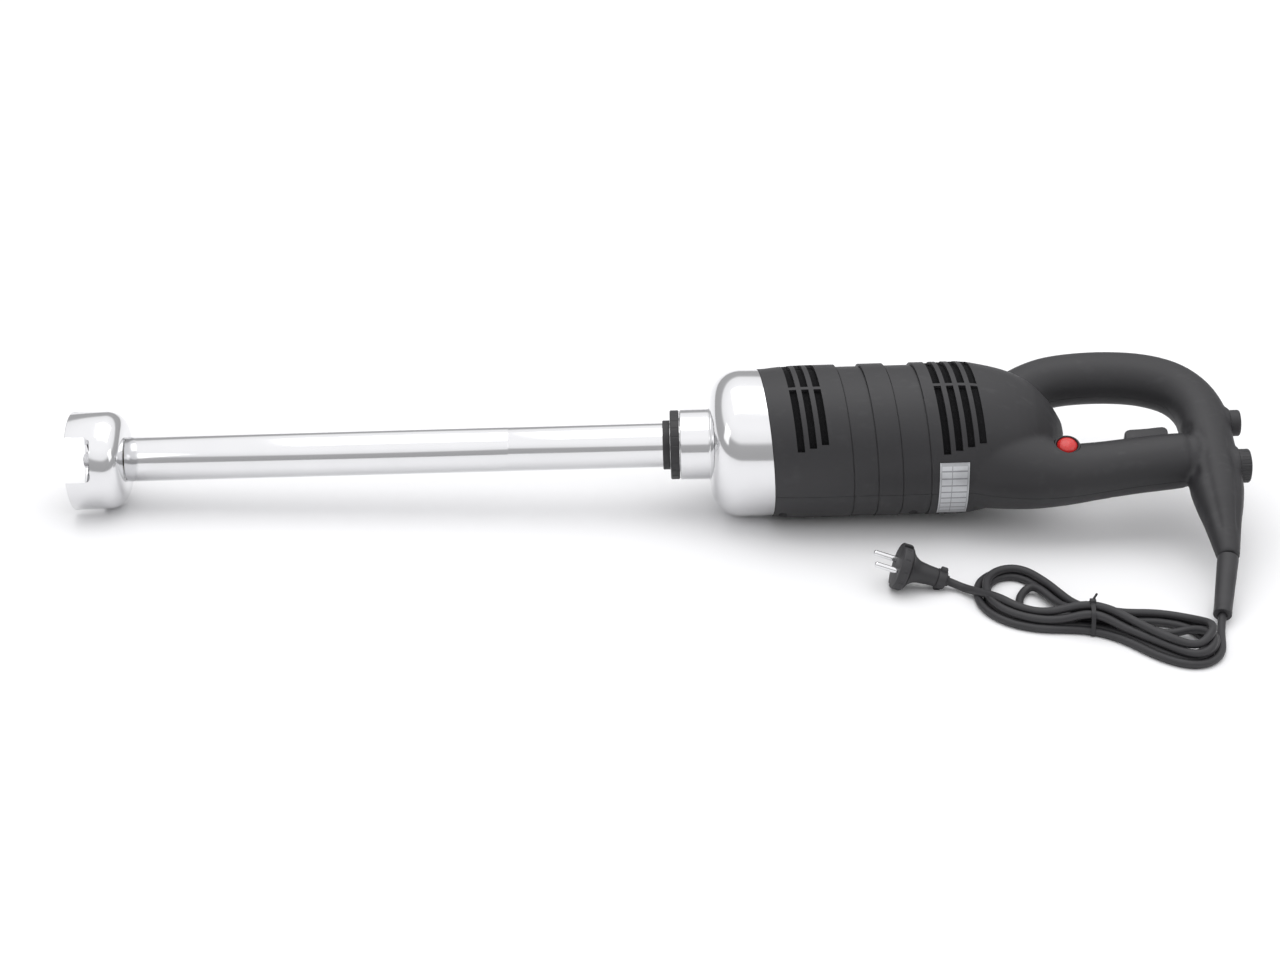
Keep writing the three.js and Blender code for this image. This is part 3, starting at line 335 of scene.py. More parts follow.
@dataclass(frozen=True)
class CastMetal:
    """A plain metal with a granular or drawn surface, for the parts inside."""

    name: str
    colour: Triple
    rough: float = 0.35
    grain: float = 700.0
    bump: float = 0.2

    def paint(self) -> bpy.types.Material:
        """Build the material.

        Returns:
            The material.
        """
        paint = Paint(self.name)
        grain = paint.noise(self.grain, 3.0)
        cloud = paint.noise(60.0, 3.0)
        tint = paint.mix(cloud, self.colour, [0.72 * part for part in self.colour])
        paint.set(Base_Color=tint, Metallic=1.0, Roughness=self.rough + cloud * 0.16,
                  Normal=paint.bump(grain, self.bump, 0.0001))
        return paint.material


@dataclass(frozen=True)
class PlainBoard:
    """A dull coloured solid such as a circuit board or a graphite brush."""

    name: str
    colour: Triple
    rough: float = 0.55

    def paint(self) -> bpy.types.Material:
        """Build the material.

        Returns:
            The material.
        """
        paint = Paint(self.name)
        cloud = paint.noise(220.0, 3.0)
        tint = paint.mix(cloud, self.colour, [0.6 * part for part in self.colour])
        paint.set(Base_Color=tint, Roughness=self.rough + cloud * 0.15,
                  Normal=paint.bump(cloud, 0.12, 0.0002))
        return paint.material


@dataclass(frozen=True)
class PaintedShadeGauze:
    """A fine black gauze whose near-black colour is painted shade for the dark inside of the housing behind the
    vent slots.
    """

    name: str = "painted_shade_gauze"
    # Near-black colour: painted shade standing in for the inside of the housing seen through the slots.
    colour: Triple = (0.004, 0.004, 0.0045)
    thread: Triple = (0.010, 0.010, 0.011)

    def paint(self) -> bpy.types.Material:
        """Build the material.

        Returns:
            The material.
        """
        paint = Paint(self.name)
        where = paint.place()
        weave = paint.node("ShaderNodeTexVoronoi", {"feature": "DISTANCE_TO_EDGE"},
                           {"Vector": where, "Scale": 900.0})
        threads = (weave * 6.0).clamp(0.0, 1.0)
        paint.set(Base_Color=paint.mix(threads, self.thread, self.colour), Roughness=0.8 + threads * 0.1,
                  Specular_IOR_Level=0.15, Normal=paint.bump(1.0 - threads, 0.3, 0.0002))
        return paint.material


@dataclass(frozen=True)
class PlateFoil:
    """The rating plate: silver foil with a thin frame and plain ruled rows, no lettering."""

    low_x: float
    width: float
    name: str = "plate_foil"
    silver: Triple = (0.62, 0.63, 0.65)
    ink: Triple = (0.10, 0.10, 0.11)
    rows: int = 9
    reach: float = 28.0

    @staticmethod
    def _axis(paint: Paint, name: str) -> Wire:
        """One of the object's coordinates in millimetres."""
        where = paint.place((1 / MM, 1 / MM, 1 / MM))
        return paint.node("ShaderNodeSeparateXYZ", inputs={0: where}, output=name)

    def paint(self) -> bpy.types.Material:
        """Build the material.

        Returns:
            The material.
        """
        paint = Paint(self.name)
        along = self._axis(paint, "X")
        turn = paint.node("ShaderNodeMath", {"operation": "ARCTAN2"},
                          {0: self._axis(paint, "Y"), 1: self._axis(paint, "Z")})
        share = ((along - self.low_x) / self.width).clamp(0.0, 1.0)
        height = (turn / (2 * math.radians(self.reach)) + 0.5).clamp(0.0, 1.0)
        rule = paint.node("ShaderNodeMath", {"operation": "FRACT"}, {0: height * float(self.rows)})
        inside = (share.above(0.07) * (1.0 - share.above(0.93))
                  * height.above(0.05) * (1.0 - height.above(0.95)))
        column = paint.node("ShaderNodeMath", {"operation": "PINGPONG"}, {0: share - 0.42, 1: 1.0})
        lines = (rule.above(0.80) + (1.0 - column.above(0.012))).clamp(0.0, 1.0) * inside
        frame_line = (1.0 - inside) * share.above(0.035) * (1.0 - share.above(0.965))
        lines = (lines + frame_line * 0.6).clamp(0.0, 1.0)
        cloud = paint.noise(300.0, 3.0)
        tint = paint.mix((lines * 0.55 + cloud * 0.12).clamp(0.0, 1.0), self.silver, self.ink)
        paint.set(Base_Color=tint, Metallic=0.55, Roughness=0.28 + cloud * 0.14,
                  Normal=paint.bump(cloud, 0.06, 0.0001))
        return paint.material


class Finishes:
    """One material for each of the record's slots, made once."""

    def __init__(self) -> None:
        """Mix every finish."""
        self.by_slot: dict[Slot, bpy.types.Material] = {
            Slot.STEEL: TurnedSteel().paint(),
            Slot.DARK_STEEL: CastMetal("machined_steel", (0.42, 0.42, 0.44), 0.3).paint(),
            Slot.ALLOY: CastMetal("cast_alloy", (0.62, 0.63, 0.65), 0.42, 420.0, 0.35).paint(),
            Slot.BLACK: MouldedPlastic().paint(),
            Slot.RED: GlossPlastic().paint(),
            Slot.RUBBER: SoftRubber().paint(),
            Slot.BRASS: CastMetal("turned_brass", (0.70, 0.52, 0.22), 0.26).paint(),
            Slot.COPPER: CastMetal("winding_copper", (0.58, 0.26, 0.12), 0.34, 260.0, 0.6).paint(),
            Slot.CARBON: PlainBoard("graphite", (0.03, 0.03, 0.032), 0.5).paint(),
            Slot.LABEL: CastMetal("silver_can", (0.6, 0.61, 0.63), 0.3).paint(),
            Slot.BOARD: PlainBoard("green_laminate", (0.03, 0.16, 0.07)).paint(),
        }

    def __getitem__(self, slot: Slot) -> bpy.types.Material:
        """The material of a slot."""
        return self.by_slot[slot]


# ---------------------------------------------------------------------------------------------------
# Mesh building


@dataclass(frozen=True)
class ToolFrame:
    """Where the tool's own frame lies in the part frame."""

    matrix: Matrix

    @classmethod
    def from_joints(cls, joints: Iterable[dict]) -> "ToolFrame":
        """Read the frame from the motor's and the trigger's axes.

        Args:
            joints: The CAD joints.

        Returns:
            The tool's frame.
        """
        named = {joint["name"]: joint for joint in joints}
        along = Vector(named["motor_spin"]["axis"]).normalized()
        across = Vector(named["trigger_press"]["axis"]).normalized()
        side = across.cross(along).normalized()
        across = along.cross(side)
        origin = Vector(named["motor_spin"]["pos_m"]) - along * MOTOR_JOINT_X * MM
        turn = Matrix((along, side, across)).transposed().to_4x4()
        return cls(Matrix.Translation(origin) @ turn)

    def point(self, x: float, y: float, z: float) -> Vector:
        """A tool point in the part frame, in metres."""
        return self.matrix @ Vector((x * MM, y * MM, z * MM))


def arc(centre: Point, radius: float, start: float, end: float, steps: int = 8) -> list[Point]:
    """Points of an arc, angles in degrees.

    Args:
        centre: The arc's centre.
        radius: Its radius.
        start: First angle.
        end: Last angle.
        steps: Number of chords.

    Returns:
        The points, ends included.
    """
    angles = [math.radians(start + (end - start) * i / steps) for i in range(steps + 1)]
    return [(centre[0] + radius * math.cos(a), centre[1] + radius * math.sin(a)) for a in angles]


def between(knots: Sequence[np.ndarray], share: np.ndarray | float) -> np.ndarray:
    """A point of the smooth curve through the two middle ones of four knots.

    Args:
        knots: The four knots.
        share: How far along from the second knot to the third, from 0 to 1.

    Returns:
        The point.
    """
    p0, p1, p2, p3 = knots
    return 0.5 * (2 * p1 + (p2 - p0) * share + (2 * p0 - 5 * p1 + 4 * p2 - p3) * share ** 2
                  + (3 * p1 - p0 - 3 * p2 + p3) * share ** 3)


def swell(place: np.ndarray, middle: float, width: float) -> np.ndarray:
    """A smooth hump of height 1 about a middle."""
    return np.exp(-(((place - middle) / width) ** 2))


def eased(share: np.ndarray) -> np.ndarray:
    """Shares from 0 to 1 with a soft start and a soft end."""
    return share * share * (3 - 2 * share)


def placed(name: str, data: bpy.types.ID) -> bpy.types.Object:
    """A new object in the scene for a mesh, a curve, a lamp or a camera.

    Args:
        name: The object's name.
        data: What it shows.

    Returns:
        The object.
    """
    made = bpy.data.objects.new(name, data)
    bpy.context.scene.collection.objects.link(made)
    return made


class Workshop:
    """Makes meshes in millimetres in a frame of its own and sets them down in the part frame."""

    def __init__(self, matrix: Matrix) -> None:
        """Remember the frame that the pieces are made in."""
        self.matrix = matrix

    def beside(self, place: Point, turn: Matrix) -> "Workshop":
        """A workshop about a point (x, z) of this one, turned by a matrix."""
        return Workshop(self.matrix @ Matrix.Translation(Vector((place[0], 0.0, place[1])) * MM) @ turn)

    def mesh(self, name: str, points: Sequence[Sequence[float]],
             faces: Sequence[Sequence[int]]) -> bpy.types.Object:
        """Make an object from points in millimetres and faces, with its normals facing out.

        Args:
            name: The object's name.
            points: The points in millimetres.
            faces: The corners of each face, as numbers of points.

        Returns:
            The object.
        """
        data = bpy.data.meshes.new(name)
        data.from_pydata([tuple(c * MM for c in p) for p in points], [], faces)
        work = bmesh.new()
        work.from_mesh(data)
        bmesh.ops.remove_doubles(work, verts=work.verts, dist=1e-7)
        bmesh.ops.recalc_face_normals(work, faces=work.faces)
        work.to_mesh(data)
        work.free()
        made = placed(name, data)
        made.matrix_world = self.matrix
        return made

    def lathe(self, name: str, outline: Sequence[Point], sides: int = 96,
              at: Point = (0.0, 0.0)) -> bpy.types.Object:
        """Turn a closed outline of (x, radius) about the tool's axis, or about a line beside it.

        Args:
            name: The object's name.
            outline: The outline; points on the axis close the solid there.
            sides: Number of sides.
            at: Y and Z of the turning axis.

        Returns:
            The object.
        """
        points = [(x, at[0] + r * math.cos(a), at[1] + r * math.sin(a))
                  for x, r in outline for a in np.linspace(0, 2 * math.pi, sides, endpoint=False)]
        faces = []
        count = len(outline)
        for i in range(count):
            j = (i + 1) % count
            if outline[i][1] == 0 and outline[j][1] == 0:
                continue
            for k in range(sides):
                n = (k + 1) % sides
                faces.append((i * sides + k, i * sides + n, j * sides + n, j * sides + k))
        return self.mesh(name, points, [self._unrepeated(face, points) for face in faces])

    @staticmethod
    def _unrepeated(face: Sequence[int], points: Sequence[Triple]) -> list[int]:
        """Drop corners of a face that lie on each other.

        Args:
            face: The corners, as numbers of points.
            points: The points.

        Returns:
            The corners that are left.
        """
        kept: list[int] = []
        for index in face:
            if all(math.dist(points[index], points[other]) > 1e-6 for other in kept):
                kept.append(index)
        return kept

    def loft(self, name: str, rings: Sequence[Sequence[Sequence[float]]],
             closed: bool = False) -> bpy.types.Object:
        """Skin a row of rings with the same number of points, and cap both ends or join them up.

        Args:
            name: The object's name.
            rings: The points of each ring.
            closed: Whether the last ring joins the first.

        Returns:
            The object.
        """
        count, sides = len(rings), len(rings[0])
        faces: list[Sequence[int]] = []
        for r in range(count if closed else count - 1):
            ahead = (r + 1) % count * sides
            for k in range(sides):
                n = (k + 1) % sides
                faces.append((r * sides + k, r * sides + n, ahead + n, ahead + k))
        if not closed:
            faces += [list(range(sides)), [(count - 1) * sides + k for k in range(sides)]]
        return self.mesh(name, [point for ring in rings for point in ring], faces)

    def block(self, name: str, low: Triple, high: Triple) -> bpy.types.Object:
        """A box between two corners, used as a cutter."""
        ring = [(low[1], low[2]), (high[1], low[2]), (high[1], high[2]), (low[1], high[2])]
        return self.loft(name, [[(x, y, z) for y, z in ring] for x in (low[0], high[0])])

    def rod(self, name: str, start: Triple, end: Triple, radius: float, sides: int = 32) -> bpy.types.Object:
        """A round bar between two points.

        Args:
            name: The object's name.
            start: The middle of its first end.
            end: The middle of its other end.
            radius: Its radius.
            sides: Its number of sides.

        Returns:
            The object.
        """
        line = Vector(end) - Vector(start)
        turn = line.to_track_quat("Z", "X").to_matrix()
        rings = []
        for middle in (Vector(start), Vector(end)):
            rings.append([middle + turn @ Vector((radius * math.cos(a), radius * math.sin(a), 0.0))
                          for a in np.linspace(0, 2 * math.pi, sides, endpoint=False)])
        return self.loft(name, rings)

    def flutes(self, xs: Point, reach: float, radius: float, sides: int, number: int, z: float = 0.0,
               start: float = 0.0) -> list[bpy.types.Object]:
        """Round bars along X, spread evenly on a circle, that cut flutes into a turned rim.

        Args:
            xs: Where the bars start and end.
            reach: The circle's radius.
            radius: A bar's radius.
            sides: A bar's number of sides.
            number: How many bars.
            z: Z of the circle's middle.
            start: The first bar's angle in degrees.

        Returns:
            The bars.
        """
        made = []
        for index in range(number):
            angle = math.radians(start + 360.0 / number * index)
            y, up = reach * math.cos(angle), z + reach * math.sin(angle)
            made.append(self.rod("flute", (xs[0], y, up), (xs[1], y, up), radius, sides))
        return made

    def sector(self, name: str, xs: Point, radii: Point, angles: Point,
               step: float = 2.0) -> bpy.types.Object:
        """A piece of a ring about the axis, between two places, two radii and two angles in degrees.

        Args:
            name: The object's name.
            xs: The two places along the axis.
            radii: The inner and outer radius.
            angles: The first and last angle.
            step: Degrees between two sections.

        Returns:
            The object.
        """
        count = max(2, int(abs(angles[1] - angles[0]) / step))
        turns = [math.radians(angles[0] + (angles[1] - angles[0]) * i / count) for i in range(count + 1)]
        section = [(xs[0], radii[0]), (xs[1], radii[0]), (xs[1], radii[1]), (xs[0], radii[1])]
        rings = [[(x, r * math.cos(t), r * math.sin(t)) for x, r in section] for t in turns]
        return self.loft(name, rings)

    @staticmethod
    def slanted(made: bpy.types.Object) -> bpy.types.Object:
        """Lean an object's cross-sections in the loop's plane, as the housing's edge and slots do.

        Args:
            made: The object.

        Returns:
            The object.
        """
        lean = Matrix.Identity(4)
        lean[0][2] = SLANT
        made.data.transform(lean)
        return made

    @staticmethod
    def settle(made: bpy.types.Object) -> bpy.types.Object:
        """Apply every modifier of an object.

        Args:
            made: The object.

        Returns:
            The object.
        """
        graph = bpy.context.evaluated_depsgraph_get()
        data = bpy.data.meshes.new_from_object(made.evaluated_get(graph))
        old = made.data
        made.modifiers.clear()
        made.data = data
        bpy.data.meshes.remove(old)
        return made

    @staticmethod
    def twin(made: bpy.types.Object) -> bpy.types.Object:
        """A copy of an object with a mesh of its own.

        Args:
            made: The object.

        Returns:
            The copy.
        """
        copy = made.copy()
        copy.data = made.data.copy()
        bpy.context.scene.collection.objects.link(copy)
        return copy

    @staticmethod
    def surface(made: bpy.types.Object) -> tuple[np.ndarray, np.ndarray]:
        """The places and the normals of a mesh's vertices, as flat rows of numbers in metres.

        Args:
            made: The object.

        Returns:
            The places and the normals.
        """
        places = np.empty(len(made.data.vertices) * 3, np.float32)
        normals = np.empty_like(places)
        made.data.vertices.foreach_get("co", places)
        made.data.vertex_normals.foreach_get("vector", normals)
        return places, normals

    @staticmethod
    def reshape(made: bpy.types.Object, places: np.ndarray) -> None:
        """Move a mesh's vertices to new places, given as a flat row."""
        made.data.vertices.foreach_set("co", places)
        made.data.update()

    @staticmethod
    def drop(made: bpy.types.Object) -> None:
        """Delete a helper object and its mesh.

        Args:
            made: The object.
        """
        data = made.data
        bpy.data.objects.remove(made)
        bpy.data.meshes.remove(data)

    def carve(self, made: bpy.types.Object, solver: Solver, *tools: bpy.types.Object) -> bpy.types.Object:
        """Cut, join or intersect an object with others, which are used up.

        Args:
            made: The object.
            solver: What to do with the others.
            *tools: The others.

        Returns:
            The object.
        """
        for tool in tools:
            change = made.modifiers.new("carve", "BOOLEAN")
            change.operation = solver.value
            change.object = tool
            change.solver = "MANIFOLD"
        self.settle(made)
        for tool in tools:
            self.drop(tool)
        return made

    @staticmethod
    def gather(name: str, parts: Sequence[bpy.types.Object]) -> bpy.types.Object:
        """Join objects that don't touch into one.

        Args:
            name: The name of the joined object.
            parts: The objects.

        Returns:
            The joined object.
        """
        first = parts[0]
        with bpy.context.temp_override(active_object=first, selected_editable_objects=list(parts)):
            bpy.ops.object.join()
        first.name = name
        return first

    def soften(self, made: bpy.types.Object, width: float, segments: int = 3,
               angle: float = 35.0) -> bpy.types.Object:
        """Round the edges that are sharper than an angle.

        Args:
            made: The object.
            width: How far the rounding reaches, in millimetres.
            segments: How many steps it has.
            angle: The angle in degrees.

        Returns:
            The object.
        """
        edge = made.modifiers.new("edge", "BEVEL")
        edge.width = width * MM
        edge.segments = segments
        edge.limit_method = "ANGLE"
        edge.angle_limit = math.radians(angle)
        edge.use_clamp_overlap = True
        return self.settle(made)

    @staticmethod
    def shade(made: bpy.types.Object, angle: float = 32.0) -> bpy.types.Object:
        """Shade smooth, with edges sharper than an angle kept crisp.

        Args:
            made: The object.
            angle: The angle in degrees.

        Returns:
            The object.
        """
        made.data.polygons.foreach_set("use_smooth", [True] * len(made.data.polygons))
        made.data.set_sharp_from_angle(angle=math.radians(angle))
        return made


class Bench:
    """Dresses finished pieces and reports them."""

    def __init__(self, finishes: Finishes) -> None:
        """Keep the finishes at hand."""
        self.finishes = finishes

    def fit(self, made: bpy.types.Object, body: Body, slot: Slot, *nodes: str,
            material: bpy.types.Material | None = None) -> bpy.types.Object:
        """Give a piece its finish, its place in the part's frame, its body and the CAD nodes it replaces.

        Args:
            made: The piece.
            body: The body that it rides on.
            slot: Its material slot.
            nodes: CAD nodes that it replaces.
            material: A finish of its own, if it differs from its slot's.

        Returns:
            The piece.
        """
        if material is None:
            made.data.transform(made.matrix_world)
            made.matrix_world = Matrix.Identity(4)
        made.data.materials.clear()
        made.data.materials.append(material or self.finishes[slot])
        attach(made, body.value)
        if nodes:
            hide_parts(*nodes)
        log.info("%s rides on %s with %s", made.name, body.value, slot.value)
        return made

    def dress_carried(self, shown: dict[str, bpy.types.Object], record: dict, replaced: set[str]) -> None:
        """Give every CAD node that stays its slot's finish.

        Args:
            shown: The objects of the CAD nodes by name.
            record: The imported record.
            replaced: Names of the nodes that finer pieces stand for.
        """
        slots = {entry["node"]: Slot(entry["material_slot"]) for entry in record["subparts"]}
        for name, node in shown.items():
            if name in replaced:
                continue
            node.data.materials.clear()
            node.data.materials.append(self.finishes[slots[name]])
            Workshop.shade(node, 28.0)
            log.info("%s is carried over with %s", name, slots[name].value)


# ---------------------------------------------------------------------------------------------------
# The stage


@dataclass
class Studio:
    """Pale floor, overhead soft light and the camera."""

    camera_place: Triple = (-13.35, -1910.5, 1057.1)
    look_down: float = 27.7
    roll: float = 0.35
    lens: float = 74.1
    floor_size: float = 9.0
    # Height of the view direction and brightness there.
    sky: tuple[Point, ...] = ((0.0, 0.36), (0.38, 0.40), (0.47, 0.86), (0.75, 0.98))
    sky_strength: float = 1.22

    def build(self) -> None:
        """Make the floor, lights, world and camera."""
        self._camera()
        self._floor()
        self._lights()

    def _camera(self) -> None:
        """The camera looks a little down on the tool from its front side."""
        data = bpy.data.cameras.new("view")
        data.lens = self.lens
        data.clip_end = 50.0
        camera = placed("view", data)
        tilt = Matrix.Rotation(math.radians(90 - self.look_down), 4, "X")
        turn = Matrix.Rotation(math.radians(self.roll), 4, "Z")
        camera.matrix_world = Matrix.Translation(Vector(self.camera_place) * MM) @ tilt @ turn
        bpy.context.scene.camera = camera

    def _floor(self) -> None:
        """A seamless pale floor."""
        half = self.floor_size / 2
        data = bpy.data.meshes.new("studio_floor")
        corners = [(-half, -half, 0), (half, -half, 0), (half, half, 0), (-half, half, 0)]
        data.from_pydata(corners, [], [(0, 1, 2, 3)])
        floor = placed("studio_floor", data)
        paint = Paint("pale_floor")
        paint.set(Base_Color=(0.88, 0.88, 0.885, 1.0), Roughness=0.6, Specular_IOR_Level=0.2)
        data.materials.append(paint.material)

    def _lights(self) -> None:
        """A bright sky over a grey horizon, with a soft box overhead and a low fill on each side."""
        self._area("top_box", (0.0, 0.45, 2.4), (0.0, 0.05, 0.0), 2.2, 17.0)
        for name, place, aim in (("left_fill", (-2.6, -1.2, 1.3), (0.0, 0.0, 0.05)),
                                 ("right_fill", (2.4, -1.4, 1.5), (0.2, 0.0, 0.05))):
            self._area(name, place, aim, 1.2, 4.0)
        world = bpy.data.worlds.new("room")
        world.use_nodes = True
        tree = world.node_tree
        back = tree.nodes["Background"]
        where = tree.nodes.new("ShaderNodeTexCoord")
        split = tree.nodes.new("ShaderNodeSeparateXYZ")
        ramp = tree.nodes.new("ShaderNodeValToRGB")
        for index, (place, shade) in enumerate(self.sky):
            stop = ramp.color_ramp.elements[index] if index < 2 else ramp.color_ramp.elements.new(place)
            stop.position = place
            stop.color = (shade, shade, 1.012 * shade, 1.0)
        tree.links.new(where.outputs["Generated"], split.inputs[0])
        tree.links.new(split.outputs["Z"], ramp.inputs["Fac"])
        tree.links.new(ramp.outputs["Color"], back.inputs["Color"])
        back.inputs["Strength"].default_value = self.sky_strength
        bpy.context.scene.world = world
        bpy.context.scene.view_settings.view_transform = "Standard"

    @staticmethod
    def _area(name: str, place: Triple, aim: Triple, size: float, power: float) -> None:
        """A square area light aimed at a point.

        Args:
            name: The lamp's name.
            place: Where it hangs.
            aim: The point that it faces.
            size: Its side.
            power: Its power in watts.
        """
        data = bpy.data.lights.new(name, "AREA")
        data.shape = "SQUARE"
        data.size = size
        data.energy = power
        lamp = placed(name, data)
        lamp.location = place
        lamp.rotation_euler = (Vector(aim) - Vector(place)).to_track_quat("-Z", "Y").to_euler()


# ---------------------------------------------------------------------------------------------------
# The mains lead


@dataclass
class MainsLead:
    """The lead from the strain relief through its hank to the plug, with the tie round the hank."""

    shift: Point
    diameter: float = 6.6
    pitch: float = 6.9
    exit_point: Triple = (443.05, -131.75, 7.53)
    lead: tuple[Triple, ...] = ((444.4, -126.2, 9.6), (442.97, -132.1, 7.45), (441.8, -137.2, 5.6),
                                (440.5, -142.4, 4.2), (439.0, -147.6, 3.5), (437.4, -152.6, 3.4))
    tail: tuple[Triple, ...] = ((248.6, -87.3, 3.45), (245.2, -84.6, 3.6), (241.4, -82.2, 4.5),
                                (237.9, -80.7, 5.6), (234.1, -80.0, 6.8), (230.6, -79.8, 8.0))
    # The outer run of the hank, from its right end round by the near side to the left and back.
    outer_run: tuple[Point, ...] = (
        (435.5, -165.0), (432.0, -184.0), (420.0, -197.0), (404.0, -198.5), (384.0, -186.0), (361.0, -162.0),
        (340.0, -149.8), (320.0, -147.5), (298.0, -146.5), (275.0, -137.0), (259.0, -117.0), (255.5, -92.0),
        (262.0, -70.0), (279.0, -57.5), (297.0, -60.0), (314.0, -82.0), (328.0, -110.0), (340.0, -127.6),
        (362.0, -129.0), (392.0, -126.5), (421.5, -138.0))
    turn_insets: tuple[float, ...] = (0.0, 1.0, 1.9, 0.5, 1.45)
    right_slack: tuple[float, ...] = (0.0, 0.0, 0.5, 0.0, 0.5)
    top_sag: tuple[float, ...] = (0.0, 2.0, 13.0, 1.0, 17.0)
    near_sag: tuple[float, ...] = (0.0, 0.0, 2.5, 5.0, 0.0)
    left_slack: tuple[float, ...] = (0.0, 0.5, 0.0, 1.5, 0.0)
    left_shrink: tuple[float, ...] = (0.0, 0.0, 0.27, 0.02, 0.0)
    turns: float = 4.47
    tie_x: float = 339.0
    waist: Point = (339.0, -139.0)

    def _outer(self, angles: np.ndarray) -> tuple[np.ndarray, np.ndarray]:
        """Points and inward normals of the closed outer run at shares of a turn.

        Args:
            angles: Shares of a turn, any number.

        Returns:
            The points and the unit vectors that point into the loop.
        """
        points = np.array(self.outer_run)
        count = len(points)
        looped = np.vstack([points, points[:1]])
        gaps = np.linalg.norm(np.diff(looped, axis=0), axis=1) ** 0.5
        knots = np.concatenate([[0.0], np.cumsum(gaps)]) / gaps.sum()
        place = np.interp(angles % 1.0, knots, np.arange(count + 1))
        index = np.floor(place).astype(int) % count
        share = (place - np.floor(place))[:, None]
        knots_near = [points[(index + offset) % count] for offset in (-1, 0, 1, 2)]
        curve = between(knots_near, share)
        p0, p1, p2, p3 = knots_near
        slope = 0.5 * ((p2 - p0) + 2 * (2 * p0 - 5 * p1 + 4 * p2 - p3) * share
                       + 3 * (3 * p1 - p0 - 3 * p2 + p3) * share ** 2)
        slope /= np.linalg.norm(slope, axis=1, keepdims=True)
        return curve, np.stack([slope[:, 1], -slope[:, 0]], axis=1)

    def _inset(self, turn: np.ndarray, base: tuple[float, ...]) -> np.ndarray:
        """A value that passes smoothly from one turn's to the next about the right end of the hank.

        Args:
            turn: Places along the hank, in turns.
            base: Each turn's value.

        Returns:
            The value at each place.
        """
        window = 0.09
        values = np.array([*base, base[-1]])
        whole = np.floor(turn + 0.5).astype(int)
        share = np.clip((turn - whole) / window * 0.5 + 0.5, 0.0, 1.0)
        before = values[np.clip(whole - 1, 0, len(values) - 1)]
        after = values[np.clip(whole, 0, len(values) - 1)]
        return before + (after - before) * eased(share)

    def _hank(self) -> np.ndarray:
        """The hank's centreline over the floor, each point resting on whatever lies under it.

        Returns:
            The points, one row each.
        """
        turn = np.linspace(0.0, self.turns, int(self.turns * 170))
        flat, inward = self._outer(turn)
        angle = turn % 1.0
        right, left = swell(np.minimum(angle, 1 - angle), 0.0, 0.15), swell(angle, 0.52, 0.13)
        inset = self.pitch * self._inset(turn, self.turn_insets)
        inset += right * self._inset(turn, self.right_slack) + left * self._inset(turn, self.left_slack)
        leg = np.floor(turn).astype(int)
        inset += np.array(self.top_sag)[leg] * swell(angle, 0.905, 0.045)
        inset += np.array(self.near_sag)[leg] * swell(angle, 0.17, 0.05)
        flat = flat + inward * inset[:, None]
        pull = np.array(self.left_shrink)[leg] * swell(angle, 0.53, 0.17)
        flat += (np.array(self.waist) - flat) * pull[:, None]
        return self._piled(flat)

    def _piled(self, flat: np.ndarray) -> np.ndarray:
        """Lift each point of a flat route onto the cord that already lies there.

        Args:
            flat: X and Y of the route, in order.

        Returns:
            The route with its heights.
        """
        radius = self.diameter / 2
        step = np.linalg.norm(np.diff(flat, axis=0), axis=1).mean()
        skip = int(4 * self.diameter / step)
        height = np.full(len(flat), radius)
        for i in range(skip, len(flat)):
            gap = np.linalg.norm(flat[:i - skip] - flat[i], axis=1)
            near = gap < self.diameter
            if near.any():
                rest = height[:i - skip][near] + np.sqrt(self.diameter ** 2 - gap[near] ** 2)
                height[i] = max(radius, rest.max())
        reach = 3
        padded = np.pad(height, reach, mode="edge")
        raised = np.array([padded[i:i + 2 * reach + 1].max() for i in range(len(height))])
        kernel = np.hanning(15)
        kernel /= kernel.sum()
        smooth = np.convolve(np.pad(0.5 * (raised + height), 7, mode="edge"), kernel, mode="valid")
        return np.column_stack([flat, np.maximum(smooth, radius)])

    def route(self) -> np.ndarray:
        """The whole centreline in millimetres, in even steps.

        Returns:
            The points, one row each.
        """
        hank = self._hank()
        joined = np.vstack([np.array(self.lead)[:-1], hank[4:-4], np.array(self.tail)[1:]])
        moved = joined + np.array([*self.shift, 0.0])
        return self._even(self._relaxed(self._even(moved, 4.0)), 3.0)

    @staticmethod
    def _relaxed(points: np.ndarray) -> np.ndarray:
        """Ease out small kinks, with both ends held.

        Args:
            points: The line.

        Returns:
            The eased line.
        """
        eased = points.copy()
        for _ in range(6):
            eased[2:-2] += 0.5 * (0.5 * (eased[1:-3] + eased[3:-1]) - eased[2:-2])
        return eased

    @staticmethod
    def _even(points: np.ndarray, step: float) -> np.ndarray:
        """The same line with a point about every step.

        Args:
            points: The line.
            step: The wanted distance.

        Returns:
            The new points.
        """
        along = np.concatenate([[0.0], np.cumsum(np.linalg.norm(np.diff(points, axis=0), axis=1))])
        places = np.linspace(0.0, along[-1], int(along[-1] / step) + 1)
        return np.column_stack([np.interp(places, along, points[:, axis]) for axis in range(3)])

